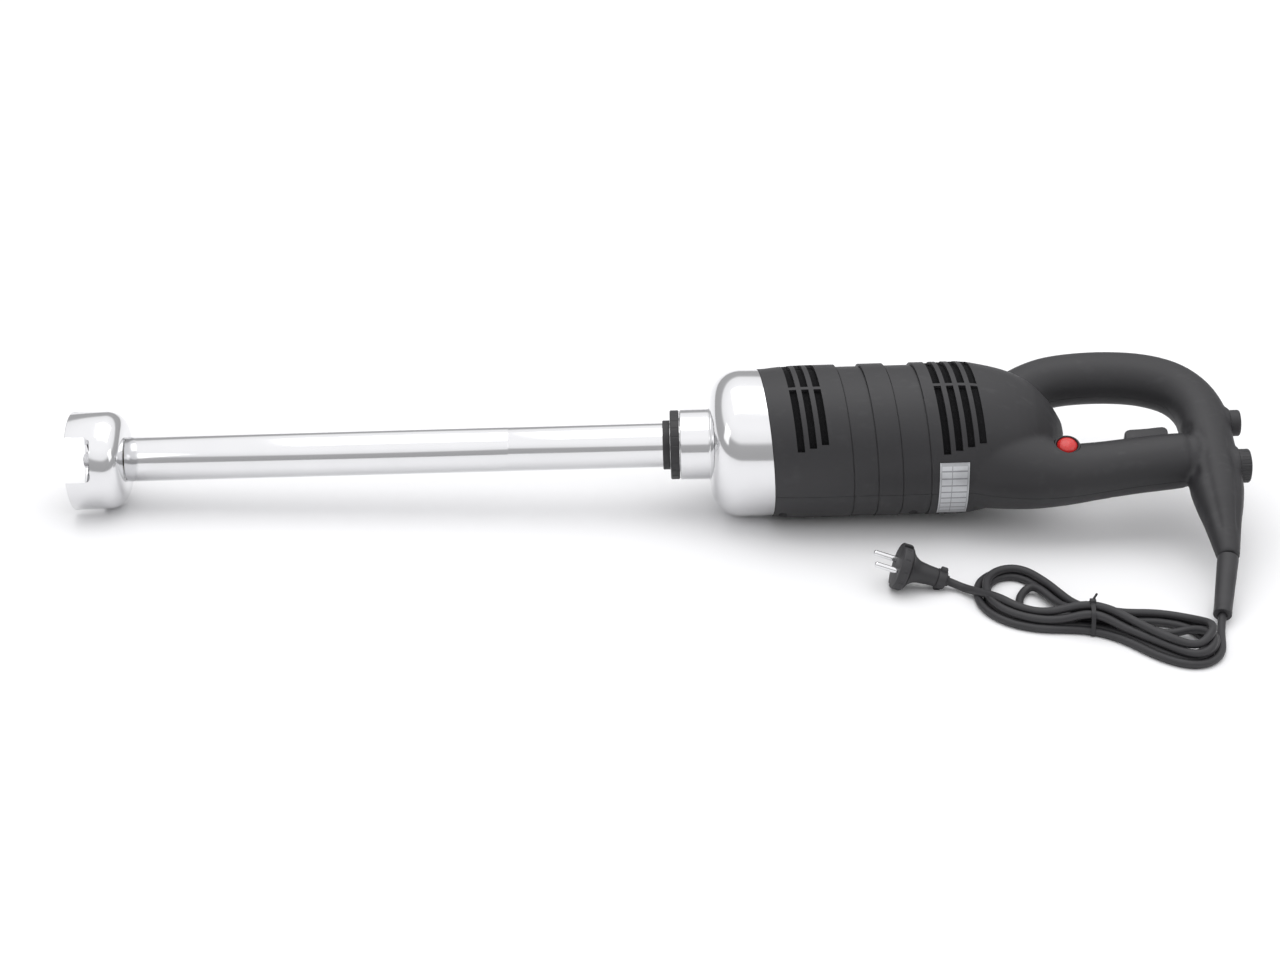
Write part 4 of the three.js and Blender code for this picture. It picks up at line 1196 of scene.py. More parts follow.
    def build(self, bench: Bench, floor_shop: Workshop, plug: list[bpy.types.Object]) -> bpy.types.Object:
        """Make the cord and its tie.

        Args:
            bench: Where pieces get their finish.
            floor_shop: A workshop whose frame is the part frame.
            plug: The plug's pieces; not used.

        Returns:
            The cord's object.
        """
        line = self.route()
        data = bpy.data.curves.new("mains_lead", "CURVE")
        data.dimensions = "3D"
        data.bevel_depth = self.diameter / 2 * MM
        data.bevel_resolution = 5
        data.use_fill_caps = True
        spline = data.splines.new("POLY")
        spline.points.add(len(line) - 1)
        for point, place in zip(spline.points, line):
            point.co = (*(place * MM), 1.0)
        spline.use_smooth = True
        cord = placed("mains_lead", data)
        data.materials.append(bench.finishes[Slot.RUBBER])
        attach(cord, Body.MOTOR.value)
        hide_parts("cord_lead", "cord_hank", "cord_tail")
        tie = self._tie(line, floor_shop)
        bench.fit(tie, Body.MOTOR, Slot.BLACK, "hank_tie")
        return cord

    def _tie(self, line: np.ndarray, shop: Workshop) -> bpy.types.Object:
        """A plastic strap drawn round the bundle, with its head and free end standing up.

        Args:
            line: The cord's centreline.
            shop: A workshop whose frame is the part frame.

        Returns:
            The tie.
        """
        middle = self.tie_x + self.shift[0]
        close = line[np.abs(line[:, 0] - middle) < 3.2]
        radius = self.diameter / 2
        dots = np.array([(y + radius * math.cos(a), max(z + radius * math.sin(a), 0.9)) for _, y, z in close
                         for a in np.linspace(0, 2 * math.pi, 24, endpoint=False)])
        loop = self._hull(dots)
        centre = loop.mean(axis=0)
        away = loop - centre
        away /= np.linalg.norm(away, axis=1, keepdims=True)
        half, thick, lowest = 1.7, 0.8, 0.15
        rings = []
        for point, out in zip(loop, away):
            y, z = point + out * thick
            z = max(z, lowest)
            rings.append([(middle - half, *point), (middle + half, *point), (middle + half, y, z),
                          (middle - half, y, z)])
        strap = shop.loft("tie_strap", rings, closed=True)
        y, z = loop[loop[:, 1].argmax()]
        head = shop.block("tie_head", (middle - 2.4, y - 2.0, z - 0.6), (middle + 2.4, y + 2.0, z + 2.4))
        end = shop.rod("tie_end", (middle, y + 0.5, z + 1.6), (middle + 3.5, y + 4.5, z + 4.8), 0.9, 12)
        tie = shop.gather("hank_strap", [strap, shop.soften(head, 0.5, 2), end])
        return shop.shade(tie, 40.0)

    @staticmethod
    def _hull(dots: np.ndarray) -> np.ndarray:
        """The convex outline round a set of flat points.

        Args:
            dots: The points.

        Returns:
            Its corners in order.
        """
        ordered = dots[np.lexsort((dots[:, 1], dots[:, 0]))]
        chains = []
        for run in (ordered, ordered[::-1]):
            chain: list[np.ndarray] = []
            for dot in run:
                while len(chain) > 1:
                    first, second = chain[-1] - chain[-2], dot - chain[-1]
                    if first[0] * second[1] - first[1] * second[0] > 1e-9:
                        break
                    chain.pop()
                chain.append(dot)
            chains.extend(chain[:-1])
        return np.array(chains)


@dataclass
class Plug:
    """The two-pin earthed plug: a round face, a waisted body and a winged clamp nut."""

    shift: Point
    face: Triple = (192.0, -78.5, 20.7)
    tail: Triple = (233.4, -79.9, 7.1)
    face_radius: float = 19.0
    pin_radius: float = 2.4
    pin_pitch: float = 19.0
    pin_length: float = 19.0

    def _shop(self) -> Workshop:
        """A workshop whose X axis runs from the plug's face to its tail.

        Returns:
            The workshop.
        """
        along = (Vector(self.tail) - Vector(self.face)).normalized()
        side = Vector((0, 0, 1)).cross(along).normalized()
        up = along.cross(side)
        turn = Matrix((along, -up, side)).transposed().to_4x4()
        place = (Vector(self.face) + Vector((*self.shift, 0.0))) * MM
        return Workshop(Matrix.Translation(place) @ turn)

    def build(self, bench: Bench) -> list[bpy.types.Object]:
        """Make the plug's body and pins.

        Args:
            bench: Where pieces get their finish.

        Returns:
            The pieces.
        """
        shop = self._shop()
        length = (Vector(self.tail) - Vector(self.face)).length
        rim = self.face_radius
        outline = [(0.0, 0.0), (0.0, rim - 1.2), *arc((1.2, rim - 1.2), 1.2, 180, 90, 4), (6.8, rim),
                   *arc((6.8, rim - 1.2), 1.2, 90, 20, 4), (9.4, rim - 3.4),
                   *arc((22.0, 22.5), 14.0, 205, 268, 10), (26.5, 7.9), (length - 10.4, 7.5),
                   (length - 10.0, 7.0), (length - 9.6, 8.0), (length - 3.2, 8.0), (length - 2.4, 7.2),
                   (length - 2.2, 4.7), (length, 4.3), (length, 0.0)]
        body = shop.lathe("plug_shell", outline, 64)
        wings = [shop.block(f"wing_{i}", (length - 9.2, low, -2.3), (length - 3.4, high, 2.3))
                 for i, (low, high) in enumerate(((6.5, 10.6), (-10.6, -6.5)))]
        for wing in wings:
            shop.soften(wing, 1.1, 3)
        grips = shop.flutes((2.5, 6.0), self.face_radius + 1.6, 2.1, 20, 12, start=15.0)
        pins = [side * self.pin_pitch / 2 for side in (1, -1)]
        holes = [shop.rod("pin_hole", (-2.0, 0.0, z), (5.0, 0.0, z), self.pin_radius + 0.3) for z in pins]
        notches = [shop.block("earth_slot", (-2.0, side * 19.5 - 2.6, -2.2), (7.5, side * 19.5 + 2.6, 2.2))
                   for side in (1, -1)]
        shop.carve(body, Solver.JOIN, *wings)
        shop.carve(body, Solver.CUT, *grips, *holes, *notches)
        shop.soften(body, 0.35, 2, 40.0)
        bench.fit(shop.shade(body), Body.MOTOR, Slot.RUBBER, "plug_body")
        return [body, *(self._pin(shop, bench, number, z) for number, z in enumerate(pins, 1))]

    def _pin(self, shop: Workshop, bench: Bench, number: int, z: float) -> bpy.types.Object:
        """One round pin with a domed tip.

        Args:
            shop: The plug's workshop.
            bench: Where pieces get their finish.
            number: The pin's number.
            z: Where it stands across the face.

        Returns:
            The object.
        """
        radius = self.pin_radius
        outline = [(-self.pin_length, 0.0), (-self.pin_length, 0.9),
                   *arc((-self.pin_length + 1.5, 0.9), 1.5, 180, 90, 5), (5.4, radius), (5.4, 0.0)]
        pin = shop.lathe(f"contact_pin_{number}", outline, 32, (0.0, z))
        return bench.fit(shop.shade(pin), Body.MOTOR, Slot.STEEL, f"plug_pin_{number}")


# ---------------------------------------------------------------------------------------------------
# The shaft


@dataclass
class ShaftUnit:
    """Bell, blade, screw, tube, tube ring and collar; the spigot that pulls out of the motor's neck is not made
    here.
    """

    bell_radius: float = 41.0
    bell_depth: float = 45.0
    bell_wall: float = 1.8
    arm_root: float = 6.2
    arm_tip: float = 3.0
    shoulder: float = 16.5
    boss_bore: float = 9.6
    boss_wall: float = 5.0
    boss_front: float = 25.0
    notch_width: float = 37.6
    notch_depth: float = 21.0
    notch_round: float = 5.0
    notch_turn: float = 42.5
    blade_at: float = 14.0
    blade_radius: float = 33.0
    tube_radius: float = 18.5
    tube_wall: float = 1.5
    tube_span: Point = (45.3, 503.3)
    ring_span: Point = (493.7, 499.7)
    collar_span: Point = (500.0, 507.5)
    collar_radius: float = 29.0

    def build(self, shop: Workshop, bench: Bench) -> None:
        """Make every visible piece of the shaft.

        Args:
            shop: The workshop of the tool.
            bench: Where pieces get their finish.
        """
        bench.fit(self._bell(shop), Body.SHAFT, Slot.STEEL, "bell_guard")
        bench.fit(self._blade(shop), Body.SHAFT_ROTOR, Slot.STEEL, "blade")
        bench.fit(self._screw(shop), Body.SHAFT_ROTOR, Slot.STEEL, "blade_screw")
        bench.fit(self._tube(shop), Body.SHAFT, Slot.STEEL, "shaft_tube")
        bench.fit(self._tube_ring(shop), Body.SHAFT, Slot.BLACK, "tube_ring")
        bench.fit(self._collar(shop), Body.COLLAR, Slot.BLACK, "lock_collar")

    def _bell(self, shop: Workshop) -> bpy.types.Object:
        """The bell: a turned cup with a boss inside and three round-cornered notches in its rim.

        Args:
            shop: The workshop of the tool.

        Returns:
            The object.
        """
        radius, depth, wall, bend = self.bell_radius, self.bell_depth, self.bell_wall, self.shoulder
        boss = self.boss_bore + self.boss_wall
        outline = [(0.5, radius), *arc((depth - bend, radius - bend), bend, 90, 0, 14),
                   (depth, self.tube_radius + 2.4), (depth - 0.4, self.tube_radius + 1.2),
                   (depth - 0.4, self.boss_bore), (self.boss_front, self.boss_bore),
                   (self.boss_front, boss - 0.8),
                   *arc((self.boss_front + 0.8, boss - 0.8), 0.8, 180, 90, 4), (depth - wall - 2.0, boss),
                   *arc((depth - wall - 2.0, boss + 2.0), 2.0, 270, 360, 5),
                   *arc((depth - bend, radius - bend), bend - wall, 0, 90, 10),
                   (0.5, radius - wall), (0.0, radius - wall + 0.4), (0.0, radius - 0.4)]
        bell = shop.lathe("bell", outline, 160)
        cutters = [self._notch(shop, self.notch_turn + 120.0 * i) for i in range(3)]
        shop.carve(bell, Solver.CUT, *cutters)
        return shop.shade(shop.soften(bell, 0.3, 2, 50.0), 40.0)

    def _notch(self, shop: Workshop, turn: float) -> bpy.types.Object:
        """The cutter of one rim notch, pointing out at an angle in degrees.

        Args:
            shop: The workshop of the tool.
            turn: The angle.

        Returns:
            The cutter.
        """
        half, round_, deep = self.notch_width / 2, self.notch_round, self.notch_depth
        flat = [(-5.0, -half), *arc((deep - round_, -half + round_), round_, 270, 360, 8),
                *arc((deep - round_, half - round_), round_, 0, 90, 8), (-5.0, half)]
        angle = math.radians(turn)
        out, side = (math.cos(angle), math.sin(angle)), (-math.sin(angle), math.cos(angle))
        rings = [[(x, out[0] * reach + side[0] * across, out[1] * reach + side[1] * across)
                  for x, across in flat] for reach in (self.bell_radius - 16.0, self.bell_radius + 6.0)]
        return shop.loft("notch", rings)

    def _blade(self, shop: Workshop) -> bpy.types.Object:
        """Four swept arms, two of them bent forwards, ground thin at their leading edge.

        Args:
            shop: The workshop of the tool.

        Returns:
            The object.
        """
        front, back, bore = self.blade_at - 0.2, self.blade_at + 2.8, 4.3
        hub = shop.lathe("blade_hub", [(front, bore), (front, 8.6), (back, 9.0), (back, bore)], 48)
        arms = []
        for index in range(4):
            base = math.pi / 2 * index
            bend = -5.0 if index % 2 else 3.0
            rings = []
            for share in np.linspace(0.0, 1.0, 9):
                reach = 6.5 + (self.blade_radius - 7.2) * share
                lift = bend * max(0.0, share - 0.45) ** 1.5
                wide = self.arm_root * (1 - share) + self.arm_tip * share
                sweep = base + 0.25 * share ** 2
                middle = (reach * math.cos(sweep), reach * math.sin(sweep))
                across = (-math.sin(sweep), math.cos(sweep))
                ring = [(self.blade_at + 0.1 + lift, -wide), (self.blade_at + 2.1 + lift, -wide * 0.55),
                        (self.blade_at + 2.3 + lift, wide * 0.6), (self.blade_at + 1.4 + lift, wide),
                        (self.blade_at + 0.3 + lift, wide * 0.7)]
                rings.append([(x, middle[0] + across[0] * w, middle[1] + across[1] * w) for x, w in ring])
            arms.append(shop.loft("blade_arm", rings))
        blade = shop.carve(hub, Solver.JOIN, *arms)
        hole = shop.rod("bore", (self.blade_at - 4, 0, 0), (self.blade_at + 6, 0, 0), bore)
        shop.carve(blade, Solver.CUT, hole)
        blade.name = "cross_blade"
        return shop.shade(blade, 30.0)

    def _screw(self, shop: Workshop) -> bpy.types.Object:
        """The hexagon screw that holds the blade, with a chamfered head.

        Args:
            shop: The workshop of the tool.

        Returns:
            The object.
        """
        back = self.blade_at - 0.3
        outline = [(back - 5.2, 0.0), (back - 5.2, 5.6), (back - 4.2, 6.35), (back, 6.35), (back, 2.5),
                   (back + 10, 2.5), (back + 10, 0.0)]
        head = shop.lathe("hex_screw", outline, 48)
        flats = [shop.block("flat", (back - 6, 5.5, -9), (back + 0.01, 12, 9)) for _ in range(6)]
        for index, flat in enumerate(flats):
            flat.data.transform(Matrix.Rotation(math.radians(60 * index), 4, "X"))
        return shop.shade(shop.carve(head, Solver.CUT, *flats), 25.0)

    def _tube(self, shop: Workshop) -> bpy.types.Object:
        """The long tube, with a welded root at the bell and one faint joint ring.

        Args:
            shop: The workshop of the tool.

        Returns:
            The object.
        """
        front, back = self.tube_span
        radius, bore = self.tube_radius, self.tube_radius - self.tube_wall
        joint = front + 320.0
        outline = [(front, radius - 0.2), (front + 0.3, radius), (joint - 0.25, radius),
                   (joint, radius - 0.12), (joint + 0.25, radius), (back, radius), (back, bore),
                   (front, bore)]
        return shop.shade(shop.lathe("long_tube", outline, 128), 40.0)

    def _tube_ring(self, shop: Workshop) -> bpy.types.Object:
        """The black ring in front of the collar.

        Args:
            shop: The workshop of the tool.

        Returns:
            The object.
        """
        front, back = self.ring_span
        bore = self.tube_radius + 0.3
        outline = [(front, bore), (front, bore + 0.9), *arc((front + 0.8, bore + 1.0), 0.7, 180, 90, 4),
                   (back, bore + 1.7), (back, bore)]
        return shop.shade(shop.lathe("collar_ring", outline, 96), 40.0)

    def _collar(self, shop: Workshop) -> bpy.types.Object:
        """The turning collar with fine grips round its rim.

        Args:
            shop: The workshop of the tool.

        Returns:
            The object.
        """
        front, back = self.collar_span
        radius, bore, seat = self.collar_radius, self.tube_radius + 0.3, 23.2
        outline = [(front, bore), (front, radius - 1.6), *arc((front + 1.1, radius - 1.3), 1.1, 180, 90, 5),
                   (back - 0.8, radius - 0.2), (back, radius - 0.9), (back, seat), (back - 4, seat),
                   (back - 4, bore)]
        collar = shop.lathe("turning_collar", outline, 144)
        grips = shop.flutes((front + 1.2, back + 1.0), radius + 0.7, 1.2, 12, 24)
        shop.carve(collar, Solver.CUT, shop.gather("grips", grips))
        return shop.shade(collar, 35.0)


# ---------------------------------------------------------------------------------------------------
# The motor end


@dataclass
class SteelNose:
    """The bright neck and dome in front of the black housing."""

    neck_radius: float = 29.3
    neck_front: float = 508.1
    dome_front: float = 533.2
    dome_back: float = 578.2
    dome_radius: float = 61.3
    dome_round: float = 26.0
    wall: float = 2.0
    flange_radius: float = 35.0
    flange_thick: float = 4.4
    mouth_bore: float = 23.2

    def build(self, shop: Workshop, bench: Bench) -> None:
        """Make the neck and the dome."""
        bench.fit(self._neck(shop), Body.MOTOR, Slot.STEEL, "motor_neck")
        bench.fit(self._dome(shop), Body.MOTOR, Slot.STEEL, "dome_cover")

    def _neck(self, shop: Workshop) -> bpy.types.Object:
        """The neck, rolled over at its mouth, with its flange inside the dome.

        Args:
            shop: The workshop of the tool.

        Returns:
            The object.
        """
        radius, front = self.neck_radius, self.neck_front
        flange = self.dome_front + self.wall + 0.3
        back, bore = flange + self.flange_thick, self.mouth_bore
        outline = [(front, radius - 1.2), *arc((front + 1.2, radius - 1.2), 1.2, 180, 90, 5),
                   (flange, radius), (flange, self.flange_radius), (back, self.flange_radius), (back, bore),
                   (front + 0.6, bore), (front, bore + 0.6)]
        return shop.shade(shop.lathe("steel_neck", outline, 128), 40.0)

    def _dome(self, shop: Workshop) -> bpy.types.Object:
        """The pressed dome, with a small fillet at the neck and a leaning edge at the housing.

        Args:
            shop: The workshop of the tool.

        Returns:
            The object.
        """
        front, radius = self.dome_front, self.dome_radius
        past = self.dome_back + SLANT * radius + 4.0
        bend, wall = self.dome_round, self.wall
        root = self.neck_radius + 0.3
        outer = [(front - 1.3, root), *arc((front - 1.3, self.neck_radius + 2.3), 1.7, 270, 360, 4),
                 *arc((front + bend, radius - bend), bend, 180, 90, 24), (past, radius)]
        inner = [(past, radius - wall), *arc((front + bend, radius - bend), bend - wall, 90, 180, 16),
                 (front + wall, root)]
        dome = shop.lathe("steel_dome", [*outer, *inner], 160)
        beyond = shop.block("beyond", (self.dome_back, -90.0, -90.0), (past + 40.0, 90.0, 90.0))
        shop.carve(dome, Solver.CUT, shop.slanted(beyond))
        return shop.shade(shop.soften(dome, 0.4, 3, 60.0), 40.0)


@dataclass
class Housing:
    """The black two-part housing with its tail, the two grips and the column that joins them."""

    radius: float = 63.5
    front: float = 578.5
    front_radius: float = 61.3
    wall: float = 3.0
    voxel: float = 1.6
    inner_voxel: float = 3.2
    ease: int = 12
    slot_width: float = 6.0
    slot_pitch: float = 10.0
    slot_rib: float = 1.3
    slot_step: float = 2.5
    front_slots: tuple[float, int, float] = (601.0, 3, 51.4)
    rear_slots: tuple[float, int, float] = (719.0, 4, 56.0)
    grooves: tuple[Point, ...] = ((642.0, 663.0), (682.0, 706.0))
    groove_depth: float = 1.3
    slit_depth: float = 0.7
    # Sections of the grips: X, Z, half height in the loop's plane, half width.
    lower_grip: tuple[tuple[float, float, float, float], ...] = (
        (745, 14, 48, 46), (762, 24, 44, 43.5), (780, 34, 37, 37), (803, 42, 30.5, 31), (826, 45, 25.5, 25.8),
        (850, 42.4, 24, 23.6), (880, 38, 23.4, 23), (910, 34.3, 23.2, 23), (930, 32.6, 22, 22),
        (944, 32, 18, 18))
    loop_grip: tuple[tuple[float, float, float, float], ...] = (
        (766, -12, 27, 29), (785.5, -37.3, 22.6, 24), (803.5, -52.4, 21.6, 22.5), (826, -61.2, 21.8, 22),
        (860, -64.3, 22.2, 22), (893, -61.7, 22.4, 22), (917, -53.7, 22.4, 22), (932, -41.7, 22, 21.6),
        (941.3, -25.3, 21.7, 21.3), (945, -5, 21.5, 21), (945.5, 45, 21.7, 21), (945.3, 66, 21.8, 20.5),
        (944.8, 86, 18.8, 18.5), (944.2, 104, 15, 15), (943, 139.5, 9.2, 9.2))
    column_back: float = 966.8
    latch: tuple[float, float] = (-7.5, 11.4)
    knob: tuple[float, float] = (41.0, 14.4)
    knob_floor: float = 962.3
    trigger_room: tuple[Triple, Triple] = ((876.2, -9.4, 5.0), (913.0, 9.4, 30.0))
    stem_hole: float = 4.3
    exit_line: tuple[Triple, Triple] = ((943.0, 0.0, 112.0), (943.0, 0.0, 147.0))
    exit_hole: float = 6.3
    screw_hole: float = 3.9
    red_button: tuple[float, float, float] = (825.0, 34.0, 11.0)
    screws: tuple[Triple, ...] = ((592, 54, 18), (592, -54, 18), (700, 54, 20), (700, -54, 20),
                                  (850, -62.5, 11), (862, 57, 8))
    # How deep the valleys of the column are, and at what turn the two beside its ridge lie.
    end_sink: float = 1.6
    ridge_sink: float = 1.25
    ridge_turns: Point = (-27.0, 42.0)

    def build(self, shop: Workshop, bench: Bench) -> None:
        """Make the two halves and the painted shade screens behind their slots.

        Args:
            shop: The workshop of the tool.
            bench: Where pieces get their finish.
        """
        skin = self._skin(shop)
        self._hollow(shop, skin)
        self._cut_openings(shop, skin)
        for name, node, low, high in (("housing_top_half", "housing_upper", 0.15, 120.0),
                                      ("housing_floor_half", "housing_lower", -120.0, -0.15)):
            half = shop.twin(skin)
            half.name = name
            shop.carve(half, Solver.KEEP, shop.block("keep", (500.0, low, -150.0), (1100.0, high, 250.0)))
            bench.fit(shop.shade(half, 34.0), Body.MOTOR, Slot.BLACK, node)
        shop.drop(skin)
        self._screens(shop, bench)

    def _screens(self, shop: Workshop, bench: Bench) -> None:
        """Near-black screens behind the slots, one on each side of each row: painted shade for the dark inside of
        the housing.

        Args:
            shop: The workshop of the tool.
            bench: Where pieces get their finish.
        """
        radius = self.radius - self.wall - 0.5
        for row, (start, count, reach) in enumerate((self.front_slots, self.rear_slots)):
            xs = (start - 6.0, start + self.slot_pitch * (count - 1) + 6.0)
            for side, middle in (("top", 0.0), ("floor", 180.0)):
                angles = (middle - reach - 5.0, middle + reach + 5.0)
                # Each screen is painted shade: a near-black sheet where the inside of the housing lies in shadow.
                screen = shop.sector(f"painted_shade_screen_{side}_{row + 1}", xs, (radius - 0.7, radius), angles)
                paint = PaintedShadeGauze().paint()
                bench.fit(shop.shade(shop.slanted(screen)), Body.MOTOR, Slot.BLACK, material=paint)

    def _grip(self, shop: Workshop, sections: Sequence[Sequence[float]]) -> bpy.types.Object:
        """A smooth grip through its sections, each square to the line through their middles.

        Args:
            shop: The workshop of the tool.
            sections: X, Z, half height and half width of each section.

        Returns:
            The object.
        """
        rows = self._refined(np.array(sections, float), 5)
        rings = []
        for index, (x, z, high, wide) in enumerate(rows):
            ahead, behind = rows[min(index + 1, len(rows) - 1)], rows[max(index - 1, 0)]
            along = np.array([ahead[0] - behind[0], ahead[1] - behind[1]])
            along /= np.linalg.norm(along)
            across = np.array([-along[1], along[0]])
            rings.append([(x + across[0] * high * math.cos(a), wide * math.sin(a),
                           z + across[1] * high * math.cos(a))
                          for a in np.linspace(0, 2 * math.pi, 48, endpoint=False)])
        return shop.loft("grip", rings)

    @staticmethod
    def _refined(rows: np.ndarray, parts: int) -> np.ndarray:
        """The same sections with smooth ones between them.

        Args:
            rows: The sections.
            parts: How many pieces each gap is cut into.

        Returns:
            The sections, one row each.
        """
        padded = np.vstack([2 * rows[0] - rows[1], rows, 2 * rows[-1] - rows[-2]])
        shares = np.linspace(0.0, 1.0, parts, endpoint=False)
        fine = [between(padded[index:index + 4], share) for index in range(len(rows) - 1) for share in shares]
        return np.array([*fine, rows[-1]])

    def _skin(self, shop: Workshop) -> bpy.types.Object:
        """The outside of the whole housing as one blended solid.

        Args:
            shop: The workshop of the tool.

        Returns:
            The solid.
        """
        near = self.front - 18.0
        outline = [(near, 0.0), (near, self.front_radius), (self.front, self.front_radius),
                   (590.0, self.radius - 0.9), (605.0, self.radius), (738.0, self.radius), (747.0, 62.8),
                   (756.0, 61.0), (766.0, 58.8), (776.0, 56.0), (785.0, 52.7), (793.0, 48.6), (801.0, 43.3),
                   (808.0, 36.5), (815.0, 28.6), (820.0, 21.0), (825.5, 11.0), (828.0, 0.0)]
        skin = shop.lathe("housing_skin", outline, 128)
        pads = [self._pad(shop, z, radius + rim)
                for (z, radius), rim in ((self.latch, 1.6), (self.knob, 2.0))]
        grips = [self._grip(shop, sections) for sections in (self.lower_grip, self.loop_grip)]
        shop.carve(skin, Solver.JOIN, *grips, *pads)
        self._remesh(shop, skin, self.voxel, self.ease)
        self._press_valleys(skin)
        nose = shop.block("nose", (500.0, -90.0, -90.0), (self.front, 90.0, 90.0))
        shop.carve(skin, Solver.CUT, shop.slanted(nose))
        return skin

    def _press_valleys(self, skin: bpy.types.Object) -> None:
        """Sink soft valleys into the column: one where the lower grip ends, one on each side of its ridge.

        Args:
            skin: The outside of the housing.
        """
        places, normals = Workshop.surface(skin)
        x, y, z = (places.reshape(-1, 3) / MM).T
        side = np.clip((np.abs(y) - 4.0) / 6.0, 0.0, 1.0)
        past_grip = x - 926.5 - 0.0016 * (z - 30.0) ** 2
        end = swell(past_grip, 0.0, 3.6) * self._window(z, 4.0, 62.0, 9.0) * side
        turn = np.degrees(np.arctan2(x - 945.0, np.abs(y) + 1e-6))
        reach = self._window(z, 18.0, 118.0, 22.0) * (x > 915.0)
        ridges = sum(swell(turn, middle, 12.0) for middle in self.ridge_turns) * reach
        sink = self.end_sink * end + self.ridge_sink * ridges
        moved = places.reshape(-1, 3) - normals.reshape(-1, 3) * (sink * MM)[:, None]
        Workshop.reshape(skin, moved.astype(np.float32).ravel())

    @staticmethod
    def _window(place: np.ndarray, low: float, high: float, fade: float) -> np.ndarray:
        """1 between two places, falling smoothly to 0 beyond them."""
        return eased(np.clip(np.minimum(place - low, high - place) / fade + 0.5, 0.0, 1.0))

    def _pad(self, shop: Workshop, z: float, radius: float) -> bpy.types.Object:
        """A flat round land on the back of the column.

        Args:
            shop: The workshop of the tool.
            z: Where its middle lies.
            radius: The land's radius.

        Returns:
            The object.
        """
        back = self.column_back
        outline = [(back - 14, 0.0), (back - 14, radius), (back - 0.8, radius), (back, radius - 0.8),
                   (back, 0.0)]
        return shop.lathe("pad", outline, 64, (0.0, z))

    @staticmethod
    def _remesh(shop: Workshop, made: bpy.types.Object, voxel: float, ease: int) -> None:
        """Give a solid an even mesh and blend its inner corners.

        Args:
            shop: The workshop of the tool.
            made: The object.
            voxel: The size of a cell in millimetres.
            ease: How many times the mesh is smoothed.
        """
        grid = made.modifiers.new("grid", "REMESH")
        grid.mode = "VOXEL"
        grid.voxel_size = voxel * MM
        blur = made.modifiers.new("blur", "SMOOTH")
        blur.factor = 0.5
        blur.iterations = ease
        shop.settle(made)

    def _hollow(self, shop: Workshop, skin: bpy.types.Object) -> None:
        """Leave a wall of even thickness, open at the front.

        Args:
            shop: The workshop of the tool.
            skin: The outside of the housing.
        """
        core = shop.twin(skin)
        self._remesh(shop, core, self.inner_voxel, 2)
        places, normals = shop.surface(core)
        shop.reshape(core, places - normals * self.wall * MM)
        near, far, bore = self.front - 22, self.front + 6, self.front_radius - self.wall
        mouth = shop.lathe("mouth", [(near, 0.0), (near, bore), (far, bore + 0.8), (far, 0.0)], 96)
        inner, outer = self.column_back - 11, self.column_back + 3
        lands = []
        for z, radius in (self.latch, self.knob):
            land = [(inner, 0.0), (inner, radius + 2.0), (outer, radius + 2.0), (outer, 0.0)]
            lands.append(shop.lathe("land", land, 48, (0.0, z)))
        shop.carve(core, Solver.JOIN, mouth)
        shop.carve(core, Solver.CUT, *lands)
        shop.carve(skin, Solver.CUT, core)

    def _slots(self, shop: Workshop) -> list[bpy.types.Object]:
        """Every vent slot: two rows on each side, in line across a thin rib.

        Args:
            shop: The workshop of the tool.

        Returns:
            The cutters.
        """
        made = []
        for side in (0.0, 180.0):
            for start, count, reach in (self.front_slots, self.rear_slots):
                for index in range(count):
                    middle = start + self.slot_pitch * index
                    xs = (middle - self.slot_width / 2, middle + self.slot_width / 2)
                    far = reach - self.slot_step * index
                    for span in ((self.slot_rib, far), (-far, -self.slot_rib)):
                        angles = (side + span[0], side + span[1])
                        reach_in = (self.radius - 9.0, self.radius + 4.0)
                        made.append(shop.slanted(shop.sector("slot", xs, reach_in, angles)))
        return made

    def _cut_openings(self, shop: Workshop, skin: bpy.types.Object) -> None:
        """Cut the slots, grooves, control openings, screw holes and the lead's exit.

        Args:
            shop: The workshop of the tool.
            skin: The outside of the housing.
        """
        shop.carve(skin, Solver.CUT, shop.gather("slots", self._slots(shop)))
        for low, high in self.grooves:
            floor = self.radius - self.groove_depth
            slit = floor - self.slit_depth
            outline = [(low, self.radius + 6), (high, self.radius + 6), (high, slit), (high - 0.9, slit),
                       (high - 1.0, floor), (low + 1.0, floor), (low + 0.9, slit), (low, slit)]
            groove = shop.slanted(shop.lathe("groove", outline, 160, (0.0, self.groove_depth * 0.8)))
            shop.carve(skin, Solver.CUT, groove)
        x, z, radius = self.red_button
        cutters = [shop.rod("button_hole", (x, 4.0, z), (x, 40.0, z), radius, 48)]
        back = self.column_back
        for start, end, (z, radius), sides in ((back - 30, back + 4, self.latch, 64),
                                               (self.knob_floor, back + 4, self.knob, 64),
                                               (back - 20, back, (self.knob[0], self.stem_hole), 24)):
            cutters.append(shop.rod("back_hole", (start, 0.0, z), (end, 0.0, z), radius, sides))
        cutters.append(shop.rod("lead_exit", *self.exit_line, self.exit_hole, 32))
        cutters.append(shop.soften(shop.block("trigger_room", *self.trigger_room), 1.2, 3))
        for x, z, seat in self.screws:
            cutters.append(shop.rod("counterbore", (x, -70.0, z), (x, -seat, z), self.screw_hole, 32))
        for cutter in cutters:
            shop.carve(skin, Solver.CUT, cutter)


